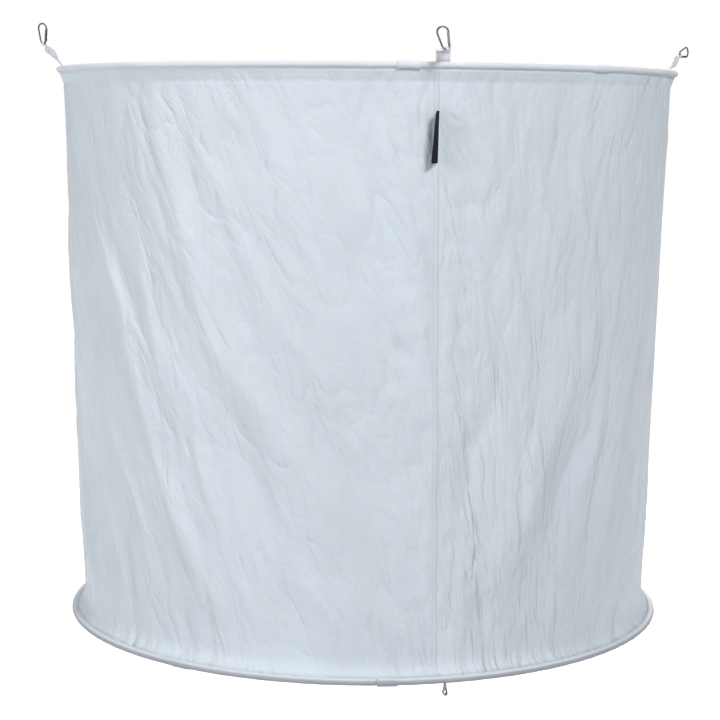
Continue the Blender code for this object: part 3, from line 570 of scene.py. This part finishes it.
def make_seam_tape():
    """The felled seam: a strip along the wall's join, drawn in between its stitches."""
    rows, columns = 240, 9
    top, foot = WALL_EDGES[0] - 0.5 * MM, WALL_EDGES[1] + 1.0 * MM
    heights = np.tile((top + (foot - top) * np.linspace(0.0, 1.0, rows))[:, None], (1, columns))
    half_width = 5.0 * MM
    side = np.linspace(-half_width, half_width, columns)[None, :]
    wander = 0.5 * MM * np.sin(-heights * FULL / 0.19)
    azimuths = seam_azimuth(heights) + np.degrees((side + wander) / WALL_RADIUS)
    lift = 0.3 * MM + 0.25 * MM * (1.0 - (side / half_width) ** 2)
    grid = ring_grid(azimuths, wall_radius(azimuths, heights) + lift, heights)
    across = np.tile(side, (rows, 1))
    down = np.tile(np.linspace(0.0, top - foot, rows)[:, None], (1, columns))
    made = sheet_mesh("seam_tape_cloth", grid, 0.5 * MM, False, down, across, TAPE)
    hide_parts("seam_tape")
    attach(made, "upper_frame")
    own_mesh(made)


def ring_stations(overlap):
    """Azimuths once round, closer together where the sleeve's overlap begins and ends."""
    plain = round_azimuths(1, RING_COLUMNS)[0]
    close = [overlap - HALF_OVERLAP + offset for offset in (-0.26, -0.2, -0.12, -0.05, -0.02, 0.02, 0.06)]
    close += [overlap + HALF_OVERLAP + offset for offset in (-0.1, 0.0, 0.1, 0.2, 0.3)]
    return np.unique(np.round(np.concatenate([plain, np.array(close) % 360.0]), 4))


def quiet_at_tabs(azimuths):
    """0 at the sewn ends of the straps, where the cloth lies flat, and 1 away from them."""
    quiet = np.ones(azimuths.shape)
    for station in STATIONS.values():
        quiet = quiet * smooth(1.4, 3.0, np.abs(turn_from(azimuths, station["azimuth"])))
    return quiet


def make_flange(name, cad, body, hoop, points, lap):
    """A cloth ring from inside the sleeve's lips that runs on behind the skirt's end, a lap away from it."""
    rows = 13
    azimuths = round_azimuths(rows, RING_COLUMNS)
    share = np.linspace(0.0, 1.0, rows)[:, None]
    first, middle, last = (np.array(point) for point in points)
    curve = (1.0 - share) ** 2 * first + 2.0 * share * (1.0 - share) * middle + share ** 2 * last
    height = np.tile(curve[:, 1:], (1, RING_COLUMNS))
    nested = wall_radius(azimuths, height) + lap
    pulled = 0.5 * MM * gathers(azimuths, 0.0) * smooth(0.1, 0.6, share)
    if hoop is UPPER_HOOP:
        pulled = pulled * (0.15 + 0.85 * quiet_at_tabs(azimuths))
    settled = smooth(0.1, 0.42, share)
    radius = (curve[:, :1] + pulled) * (1.0 - settled) + nested * settled
    grid = ring_grid(azimuths, radius, height)
    across, down = flat_measures(grid)
    made = sheet_mesh(name, grid, CLOTH * 0.75, True, across, down, FLANGE)
    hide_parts(cad)
    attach(made, body)


def sleeve_outline(azimuth, hoop, seam, ferrule, overlap):
    """The sewn sleeve's section: a cloth tube round the rod with two lips either side of the flange."""
    ahead = np.subtract(seam, hoop)
    ahead /= np.linalg.norm(ahead)
    aside = np.array([-ahead[1], ahead[0]])
    ferrule_past = abs(turn_from(azimuth, ferrule)) - 1.64
    bore = 3.8 * MM + 1.1 * MM * float(1.0 - smooth(-0.2, 0.75, ferrule_past))
    late = turn_from(azimuth, overlap)
    turn = math.radians(azimuth)
    wave = 0.12 * MM * math.sin(turn * 96.0) + 0.1 * MM * math.sin(turn * 41.0 + 1.0)
    half_slot, half_lip, end = 0.7 * MM, 1.45 * MM, 7.5 * MM
    points = []

    def place(along, across):
        points.append(tuple(np.array(hoop) + ahead * along + aside * across))

    def arc(half_gap, sides, radius_at):
        """Points round the rod from one side of a gap to the other."""
        for side in range(sides + 1):
            angle = half_gap + (FULL - 2.0 * half_gap) * side / sides
            radius = radius_at(angle)
            place(radius * math.cos(angle), radius * math.sin(angle))

    def overlapped(angle):
        """The overlap's upper layer: a crisp edge where it starts, a slanting one where it ends."""
        slant = HALF_OVERLAP - 0.35 * (angle / math.pi - 1.0)
        groove = 1.1 * MM * float(smooth(-1.98, -1.9, late) * (1.0 - smooth(-1.80, -1.76, late)))
        layer = float(smooth(-1.78, -1.74, late) * (1.0 - smooth(slant - 0.12, slant + 0.12, late)))
        return outer + 1.9 * MM * layer - groove

    outer = bore + 1.55 * MM + wave
    place(end, half_lip * 0.75)
    place(end - 1.0 * MM, half_lip)
    arc(math.asin(half_lip / outer), 26, overlapped)
    place(end - 1.0 * MM, -half_lip)
    place(end, -half_lip * 0.75)
    place(end, -half_slot)
    inner_start = len(points)
    arc(math.asin(half_slot / bore), 10, lambda angle: bore)
    points[inner_start:] = reversed(points[inner_start:])
    place(end, half_slot)
    return points


def make_sleeve(name, cad, body, hoop, seam, ferrule, overlap, material):
    """A sleeve from its sections all round, with metres along and round it as UV, 0 on its outer side."""
    stations = ring_stations(overlap)
    outlines = [sleeve_outline(azimuth, hoop, seam, ferrule, overlap) for azimuth in stations]
    count = len(outlines[0])
    points, faces, places = [], [], []
    for azimuth, outline in zip(stations, outlines):
        points += [around(azimuth, *point) for point in outline]
    measure = run_along(np.array(outlines[0] + outlines[0][:1]))
    # Point 15 is the middle of the outer side
    measure -= measure[15]
    lengths = np.radians(np.append(stations, stations[0] + 360.0)) * hoop[0]
    for index in range(len(stations)):
        here, there = index * count, (index + 1) % len(stations) * count
        for side in range(count):
            after = (side + 1) % count
            faces.append((here + side, there + side, there + after, here + after))
            places += [(lengths[index], measure[side]), (lengths[index + 1], measure[side]),
                       (lengths[index + 1], measure[side + 1]), (lengths[index], measure[side + 1])]
    mesh = bpy.data.meshes.new(name)
    mesh.from_pydata(points, [], faces)
    mesh.uv_layers.new(name="cloth").data.foreach_set("uv", np.array(places, float).ravel())
    made = link_object(name, mesh)
    turn_outwards(made)
    mesh.shade_smooth()
    mesh.set_sharp_from_angle(angle=math.radians(55.0))
    mesh.materials.append(material)
    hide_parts(cad)
    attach(made, body)


def start_edit(made):
    deselect()
    bpy.context.view_layer.objects.active = made
    made.select_set(True)
    edit_mode()


def turn_outwards(made):
    start_edit(made)
    bpy.ops.mesh.select_all(action="SELECT")
    bpy.ops.mesh.normals_make_consistent()
    object_mode()
    deselect()


def make_bottom_cloth():
    """The round diffusion cloth across the foot, with soft ripples drawn in from its edge."""
    columns, rows = 240, 26
    edge, rim = 557.0 * MM, WALL_FOOT[1] - CLOTH * 0.5
    share = np.concatenate([np.linspace(1.0, 0.08, rows - 2), [0.03, 0.004]])[:, None]
    azimuths = round_azimuths(rows, columns)
    turn = np.radians(azimuths)
    sag = 16.0 * MM * (1.0 - share ** 2)
    ripple = 4.4 * MM * share ** 3 * (1.0 - share) ** 0.7
    ripple = ripple * (np.sin(turn * 11.0) + 0.6 * np.sin(turn * 23.0 + 1.0) + 0.4 * np.sin(turn * 41.0 + 2.0))
    grid = ring_grid(azimuths, edge * share, rim - sag + ripple)
    closed = np.concatenate([grid, grid[:, :1]], 1)
    made = sheet_mesh("bottom_cloth", grid, CLOTH * 0.8, True, closed[..., 0], closed[..., 1], FOOT_CLOTH)
    # The innermost ring is merged into one point on each side
    start_edit(made)
    bpy.ops.mesh.select_all(action="DESELECT")
    object_mode()
    spots = np.empty(len(made.data.vertices) * 3)
    made.data.vertices.foreach_get("co", spots)
    spots = spots.reshape(-1, 3)
    made.data.vertices.foreach_set("select", np.hypot(spots[:, 0], spots[:, 1]) < 4.0 * MM)
    edit_mode()
    bpy.ops.mesh.remove_doubles(threshold=5.0 * MM)
    object_mode()
    turn_outwards(made)
    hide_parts("bottom_cloth")
    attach(made, "lower_frame")


def ribbon(name, path, material, thickness, body, cad):
    """Webbing from a list of (middle, across direction, width), with full, rounded edges.

    Its thickness is one number or one for each point of the path.
    """
    share = np.linspace(-1.0, 1.0, 15)
    grid = np.array([[tuple(middle + way * (width / 2.0 * float(offset))) for offset in share]
                     for middle, way, width in path])
    rounding = np.sqrt(np.clip(1.0 - np.abs(share) ** 9, 0.0, 1.0)) * 0.85 + 0.15
    depth = np.broadcast_to(np.array(thickness), len(path))[:, None] * rounding
    across = np.array([width for _, _, width in path])[:, None] / 2.0 * share
    down = np.tile(run_along(np.array([tuple(middle) for middle, _, _ in path]))[:, None], (1, len(share)))
    made = sheet_mesh(name, grid, depth, False, across, down, material)
    made.data.set_sharp_from_angle(angle=math.radians(70.0))
    turn_outwards(made)
    if cad:
        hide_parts(*cad)
    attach(made, body)


def strap_frame(station, share):
    """The strap's directions along, across and through it, at a share of its length."""
    azimuth = station["azimuth"]
    lean, skew = math.radians(station["lean"]), math.radians(station["skew"])
    up = outward(azimuth) * math.sin(lean) + Vector((0.0, 0.0, math.cos(lean)))
    along = up * math.cos(skew) + sideways(azimuth) * math.sin(skew)
    across = sideways(azimuth) * math.cos(skew) - up * math.sin(skew)
    turn = Matrix.Rotation(math.radians(station["twist"]) * float(smooth(0.05, 0.95, share)), 3, along)
    across = turn @ across
    if share < 0.25:
        across = sideways(azimuth).lerp(across, share / 0.25).normalized()
    return along, across, across.cross(along).normalized()


def strap_middle(station, pivot, distance):
    """A point on the strap's middle line, which rises in an arch at a station that has one."""
    along, _, normal = strap_frame(station, max(distance, 0.0) / STRAP_LENGTH)
    share = min(max(distance / STRAP_NECK, 0.0), 1.0)
    rise = math.sin(math.pi * share ** 0.8) * min(1.0, share / 0.2) ** 1.2
    return pivot + along * distance - normal * station.get("arch", 0.0) * rise


def make_strap(side, station):
    """The moving webbing: it twists, narrows towards its end and is sewn round an eye for the hook."""
    pivot = strap_pivot(station["azimuth"])
    narrows = 0.82 if side in ("front", "rear") else 0.66
    behind, steps = 0.6 * MM, 40
    path, depths = [], []
    for step in range(steps + 1):
        distance = -behind + (STRAP_NECK + behind) * step / steps
        across = strap_frame(station, max(distance, 0.0) / STRAP_LENGTH)[1]
        drawn = float(smooth(narrows * STRAP_LENGTH, 0.945 * STRAP_LENGTH, distance))
        width = WEBBING_WIDTH + (EYE_WIDTH - WEBBING_WIDTH) * drawn
        path.append((strap_middle(station, pivot, distance), across, width))
        depths.append((1.9 + 1.0 * drawn) * MM if step else 1.2 * MM)
    ribbon("strap_webbing_" + side, path, WEBBING, depths, "strap_" + side, ["strap_" + side])
    along, across, normal = strap_frame(station, 1.0)
    eye, bore = pivot + along * STRAP_LENGTH, 3.3 * MM
    ring = []
    for step in range(37):
        angle = math.radians(10.0 + 340.0 * step / 36)
        ring.append((eye - along * math.cos(angle) * bore + normal * math.sin(angle) * bore, across, EYE_WIDTH))
    ribbon("strap_eye_" + side, ring, WEBBING, 1.15 * MM, "strap_" + side, None)
    # Bar tacks: short rows of thread across the webbing, where it is sewn to itself
    for name, distance in (("lower", 15.0 * MM), ("upper", 24.0 * MM)):
        middle = strap_middle(station, pivot, distance)
        across = strap_frame(station, distance / STRAP_LENGTH)[1]
        along = (strap_middle(station, pivot, distance + 0.5 * MM) - middle).normalized()
        normal = across.cross(along).normalized()
        for face, place in ((-1.0, "outer"), (1.0, "inner")):
            make_bar_tack("bar_tack_%s_%s_%s" % (name, side, place), middle + normal * face * 1.05 * MM, across,
                          along, "strap_" + side)


def make_bar_tack(name, middle, across, along, body):
    """A close zigzag of thread: one rounded bar, notched between its stitches."""
    width = 20.0 * MM
    stitches = int(width / (1.3 * MM))
    path = []
    for step in range(stitches * 4 + 1):
        share = step / (stitches * 4)
        notch = abs(math.sin(share * stitches * math.pi))
        path.append((middle + across * width * (share - 0.5), notch))
    grid = np.array([[tuple(spot + along * (0.55 + 0.25 * notch) * MM * offset)
                      for offset in (-1.0, -0.5, 0.0, 0.5, 1.0)] for spot, notch in path])
    depth = np.array([[(0.25 + 0.36 * notch) * MM * bulge for bulge in (0.3, 0.85, 1.0, 0.85, 0.3)]
                      for _, notch in path])
    across_uv = np.tile(np.linspace(-0.6, 0.6, 5) * MM, (len(path), 1))
    down = np.tile(np.linspace(0.0, width, len(path))[:, None], (1, 5))
    made = sheet_mesh(name, grid, depth, False, across_uv, down, WEBBING)
    turn_outwards(made)
    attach(made, body)


def make_tab(side, station):
    """The strap's sewn end, down the inner side of the sleeve and the flange."""
    out, along = outward(station["azimuth"]), sideways(station["azimuth"])
    half = 0.8 * MM
    ahead = Vector((WALL_TOP[0] - UPPER_HOOP[0], WALL_TOP[1] - UPPER_HOOP[1])).normalized()
    inner = -SLEEVE_FACE - half
    off = CLOTH / 2.0 + 0.3 * MM + half
    foot = 23.0 * MM
    knots = [(inner, 4.6 * MM), (inner, 4.0 * MM), (inner, 0.0), (inner, -4.0 * MM),
             (-foot * ahead[0] / ahead[1] + off * ahead[1], -foot)]
    path = []
    for place in np.linspace(0.0, 4.0, 25):
        radius, height = (float(np.interp(place, range(5), values)) for values in zip(*knots))
        path.append((out * (UPPER_FLAT + radius) + Vector((0.0, 0.0, height)), along, WEBBING_WIDTH))
    ribbon("strap_end_" + side, path, WEBBING, 1.5 * MM, "upper_frame", ["strap_tab_" + side])


def strap_pivot(azimuth):
    """Where the moving webbing begins to bend, above the sewn end's middle."""
    return around(azimuth, UPPER_FLAT - SLEEVE_FACE - 0.8 * MM, 6.19 * MM)


# Hooks: bent wire and the gate's rivet, modelled flat in X and Y and then put in place

def hook_frame(station):
    """Takes a hook that lies at the origin, its bow towards +Y, to its strap's eye."""
    along, across, _ = strap_frame(station, 1.0)
    eye = strap_pivot(station["azimuth"]) + along * STRAP_LENGTH
    ahead = Matrix.Rotation(math.radians(station["fold"]), 3, across) @ along
    through = across.cross(ahead)
    frame_there = Matrix.Translation(eye) @ Matrix((across, ahead, through)).transposed().to_4x4()
    swing = Matrix.Rotation(math.radians(station["tilt"]), 4, "Z")
    return frame_there @ Matrix.Translation((0.0, NECK, 0.0)) @ swing


# The hook's outline: the middle radius of its bow, the bow's distance from the neck's middle and how far the two
# straight legs spread; then the right leg's directions and length, and the pin and the nose on it
BOW = 11.0 * MM - WIRE
REACH = 40.0 * MM - NECK - BOW - 2.0 * WIRE
FLARE = math.asin((BOW - NECK) / REACH)
RIGHT = Vector((math.cos(FLARE), -math.sin(FLARE), 0.0))
LINE = Vector((math.sin(FLARE), math.cos(FLARE), 0.0))
PIN = RIGHT * NECK + LINE * 1.5 * MM
LEG = REACH * math.cos(FLARE)
NOSE = RIGHT * NECK + LINE * (LEG - 1.0 * MM)


def settle(made, side, station, cad):
    """Puts a piece of a hook, modelled at the origin, in its place."""
    made.data.transform(made.matrix_world)
    made.matrix_world = Matrix.Identity(4)
    made.data.transform(hook_frame(station))
    dress(made, HOOK_STEEL)
    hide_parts(cad)
    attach(made, "hook_" + side)


def extrude(value, scale=None, about=None):
    bpy.ops.mesh.extrude_region_move(TRANSFORM_OT_translate={"value": value})
    if scale is not None:
        bpy.ops.transform.resize(value=scale, center_override=about)


def make_hook(side, station):
    """Round wire spun round the bow and the neck, pressed flat at the nose and at the pin."""
    flat = 0.44
    start = NOSE - LINE * 1.6 * MM
    deselect()
    bpy.ops.mesh.primitive_circle_add(vertices=20, radius=WIRE, fill_type="NGON", location=start,
                                      rotation=LINE.to_track_quat("Z", "Y").to_euler())
    made = bpy.context.object
    made.name = "hook_wire_" + side
    bpy.ops.object.transform_apply()
    edit_mode()
    bpy.ops.mesh.select_all(action="SELECT")
    bpy.ops.transform.resize(value=(0.8, 0.8, flat * 0.8), center_override=start)
    extrude(LINE * 0.35 * MM, (1.25, 1.25, 1.25), start + LINE * 0.35 * MM)
    extrude(LINE * 1.4 * MM)
    extrude(LINE * 0.85 * MM, (1.0, 1.0, 1.0 / flat), NOSE + LINE * 1.0 * MM)
    bpy.ops.mesh.spin(steps=34, angle=math.pi + 2.0 * FLARE, center=(0.0, REACH, 0.0), axis=(0.0, 0.0, -1.0))
    down = Vector((LINE.x, -LINE.y, 0.0))
    extrude(down * LEG)
    bpy.ops.mesh.spin(steps=22, angle=math.pi - 2.0 * FLARE, center=(0.0, 0.0, 0.0), axis=(0.0, 0.0, -1.0))
    end = RIGHT * NECK
    extrude(LINE * 0.7 * MM, (1.0, 1.0, flat), end + LINE * 0.7 * MM)
    extrude(LINE * 2.05 * MM)
    extrude(LINE * 0.35 * MM, (0.8, 0.8, 0.8), end + LINE * 3.1 * MM)
    bpy.ops.mesh.select_all(action="SELECT")
    bpy.ops.mesh.remove_doubles(threshold=0.00001)
    bpy.ops.mesh.normals_make_consistent()
    object_mode()
    bpy.ops.object.shade_smooth_by_angle(angle=math.radians(50.0))
    settle(made, side, station, "snap_hook_" + side)


def make_pin(side, station):
    """A rivet with a low round head on each side of the gate."""
    deselect()
    bpy.ops.mesh.primitive_cylinder_add(vertices=20, radius=0.45 * MM, depth=3.3 * MM, location=PIN)
    made = bpy.context.object
    made.name = "gate_rivet_" + side
    bpy.ops.object.transform_apply()
    for up in (1.0, -1.0):
        object_mode()
        for polygon in made.data.polygons:
            polygon.select = polygon.normal.z * up > 0.9
        edit_mode()
        bpy.ops.mesh.select_mode(type="FACE")
        about = PIN + Vector((0.0, 0.0, 1.65 * MM * up))
        extrude((0.0, 0.0, 0.02 * MM * up), (2.2, 2.2, 1.0), about)
        extrude((0.0, 0.0, 0.22 * MM * up))
        extrude((0.0, 0.0, 0.16 * MM * up), (0.72, 0.72, 1.0), about)
        extrude((0.0, 0.0, 0.06 * MM * up), (0.5, 0.5, 1.0), about)
    object_mode()
    bpy.ops.object.shade_smooth_by_angle(angle=math.radians(50.0))
    settle(made, side, station, "gate_pin_" + side)


def make_label():
    """The bare black tag: woven, turned in at its ends, standing out of the seam by one edge."""
    rows, columns = 34, 15
    down, out = np.meshgrid(np.linspace(0.0, 1.0, rows), np.linspace(0.0, 1.0, columns), indexing="ij")
    azimuth = seam_azimuth(-118.0 * MM)
    lean = np.radians(24.0 + 14.0 * down)
    reach = out * 24.6 * MM
    curl = 1.1 * MM * np.sin(out * math.pi) * np.cos(down * 5.0)
    ahead = np.array(tuple(outward(azimuth)))
    aside = np.array(tuple(sideways(azimuth)))
    grid = ahead * (585.9 * MM + reach * np.cos(lean) + curl * np.sin(lean))[..., None]
    grid = grid + aside * (curl * np.cos(lean) - reach * np.sin(lean) + (4.4 - 1.6 * down) * MM)[..., None]
    rounded = 2.5 * MM * np.clip((out - 0.86) / 0.14, 0.0, 1.0) ** 2
    grid[..., 2] = -(75.0 + 85.6 * down) * MM - rounded * (1.0 - 2.0 * down) - 1.5 * MM * out * down
    thickness = np.full((rows, columns), 0.75 * MM)
    thickness[:3] = thickness[-3:] = 1.0 * MM
    made = sheet_mesh("bare_label", grid, thickness, False, out * 24.6 * MM, down * 85.6 * MM, LABEL)
    turn_outwards(made)
    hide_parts("label")
    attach(made, "upper_frame")


def make_pull_loop():
    """A short tape folded on itself, with a round fold at its foot and its two layers lying close together at its
    top.
    """
    pivot = around(LOOP, LOWER_FLAT, LOWER_HOOP[1] - SLEEVE_FACE - 1.4 * MM)
    out, along = outward(LOOP), sideways(LOOP)
    bulb, low = 3.3 * MM, 16.6 * MM
    line = [(-1.3 * MM, 0.68 * MM), (1.0 * MM, 0.7 * MM), (4.5 * MM, 0.85 * MM), (8.0 * MM, 1.5 * MM),
            (11.5 * MM, 2.5 * MM)]
    for step in range(19):
        angle = math.radians(105.0 - 210.0 * step / 18)
        line.append((low + bulb * math.cos(angle), bulb * math.sin(angle)))
    line += [(down, -across) for down, across in reversed(line[:5])]
    path = [(pivot + along * across - Vector((0.0, 0.0, down)), out, 11.6 * MM) for down, across in line]
    ribbon("pull_loop_tape", path, LOOP_TAPE_PAINTED_SHADE, 1.2 * MM, "pull_loop", ["pull_loop"])


# Stage, light and camera

def mixed_shader(tree, share, first, second):
    made = node(tree, "ShaderNodeMixShader")
    for socket, value in zip(made.inputs, (share, first, second)):
        tree.links.new(value, socket)
    return made.outputs[0]


def make_stage():
    """A pale floor and background that the camera sees as white, with less light on the softbox itself."""
    made, tree, shader = new_material("pale floor", (0.55, 0.56, 0.58), 0.8)
    rays = node(tree, "ShaderNodeLightPath")
    place = node(tree, "ShaderNodeTexCoord").outputs["Object"]
    away = node(tree, "ShaderNodeVectorMath", {"operation": "LENGTH"}, Vector=place).outputs["Value"]
    bright = spread(tree, away, {"interpolation_type": "SMOOTHSTEP"}, From_Min=0.6, From_Max=4.0, To_Min=0.74)
    glow = node(tree, "ShaderNodeEmission", Strength=bright)
    seen = maths(tree, "MAXIMUM", rays.outputs["Is Camera Ray"], rays.outputs["Is Glossy Ray"])
    seen = maths(tree, "MAXIMUM", seen, rays.outputs["Is Transmission Ray"])
    dark = node(tree, "ShaderNodeEmission", Strength=0.0)
    mixed = mixed_shader(tree, seen, dark.outputs[0], glow.outputs[0])
    both = node(tree, "ShaderNodeAddShader")
    tree.links.new(shader.outputs[0], both.inputs[0])
    tree.links.new(mixed, both.inputs[1])
    fill(tree, tree.nodes["Material Output"], Surface=both.outputs[0])
    deselect()
    bpy.ops.mesh.primitive_plane_add(size=60.0, location=(0.0, 0.0, -1.75))
    floor = bpy.context.object
    floor.name = "floor"
    floor.data.materials.append(made)
    floor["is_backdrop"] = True

    world = bpy.data.worlds.new("studio")
    bpy.context.scene.world = world
    world.use_nodes = True
    tree = world.node_tree
    tree.nodes.clear()
    rays = node(tree, "ShaderNodeLightPath")
    white = node(tree, "ShaderNodeBackground", Color=(1.0, 1.0, 1.0, 1.0), Strength=1.0)
    soft = node(tree, "ShaderNodeBackground", Color=(0.93, 0.97, 1.0, 1.0), Strength=0.36)
    mixed = mixed_shader(tree, rays.outputs["Is Camera Ray"], soft.outputs[0], white.outputs[0])
    node(tree, "ShaderNodeOutputWorld", Surface=mixed)


def add_lamp(name, place, size, power):
    """A round soft lamp that shines on the skirt's middle."""
    data = bpy.data.lights.new(name, "AREA")
    data.shape = "DISK"
    data.size = size
    data.energy = power
    made = link_object(name, data)
    made.location = place
    made.rotation_euler = (Vector((0.0, 0.0, -0.5)) - Vector(place)).to_track_quat("-Z", "Y").to_euler()


def add_camera():
    """The camera fitted to the hoops in the photo: its lens in mm, its shift, its place and its tilt and roll."""
    data = bpy.data.cameras.new("camera")
    data.sensor_width = 36.0
    data.lens = 91.84
    data.shift_x = -0.0067
    data.shift_y = 0.0288
    data.clip_end = 200.0
    made = link_object("camera", data)
    tilt = Matrix.Rotation(math.pi / 2.0 - 0.1404, 4, "X")
    roll = Matrix.Rotation(0.0077, 4, "Z")
    made.matrix_world = Matrix.Translation((0.0, -3.645, -0.0929)) @ tilt @ roll
    bpy.context.scene.camera = made


make_wall()
make_seam_tape()
make_flange("upper_flange_cloth", "upper_flange", "upper_frame", UPPER_HOOP,
            ((593.6 * MM, -4.5 * MM), (588.2 * MM, -18.0 * MM), (586.6 * MM, -30.0 * MM)), -1.5 * MM)
make_flange("lower_flange_cloth", "lower_flange", "lower_frame", LOWER_HOOP,
            ((574.4 * MM, -1047.4 * MM), (564.5 * MM, -1039.5 * MM), (560.6 * MM, -1029.0 * MM)), -1.3 * MM)
make_sleeve("upper_sleeve_cloth", "upper_hoop_sleeve", "upper_frame", UPPER_HOOP, WALL_TOP, UPPER_FERRULE,
            UPPER_OVERLAP, SLEEVE)
make_sleeve("lower_sleeve_cloth", "lower_hoop_sleeve", "lower_frame", LOWER_HOOP, WALL_FOOT, LOWER_FERRULE,
            LOWER_OVERLAP, FOOT_SLEEVE_PAINTED_SHADE)
make_bottom_cloth()
make_label()
make_pull_loop()
for side, station in STATIONS.items():
    make_tab(side, station)
    make_strap(side, station)
    make_hook(side, station)
    make_pin(side, station)
for name in ("upper_hoop_rod", "upper_hoop_ferrule", "lower_hoop_rod", "lower_hoop_ferrule"):
    dress(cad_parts[name], ROD_STEEL)
for side in STATIONS:
    dress(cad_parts["hook_gate_" + side], HOOK_STEEL)
make_stage()
add_lamp("key", (1.8, -3.7, 2.4), 1.3, 110.0)
add_lamp("fill", (-3.3, -2.6, 0.8), 1.6, 62.0)
add_lamp("top", (0.2, 0.8, 3.2), 2.2, 50.0)
add_lamp("back", (0.6, 4.2, 1.2), 2.4, 75.0)
add_camera()

scene = bpy.context.scene
scene.view_settings.view_transform = "Standard"
boxes = {name: [list(corner) for corner in box] for name, box in
         (("cad_box_m", cad_box), ("visual_box_m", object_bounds()))}
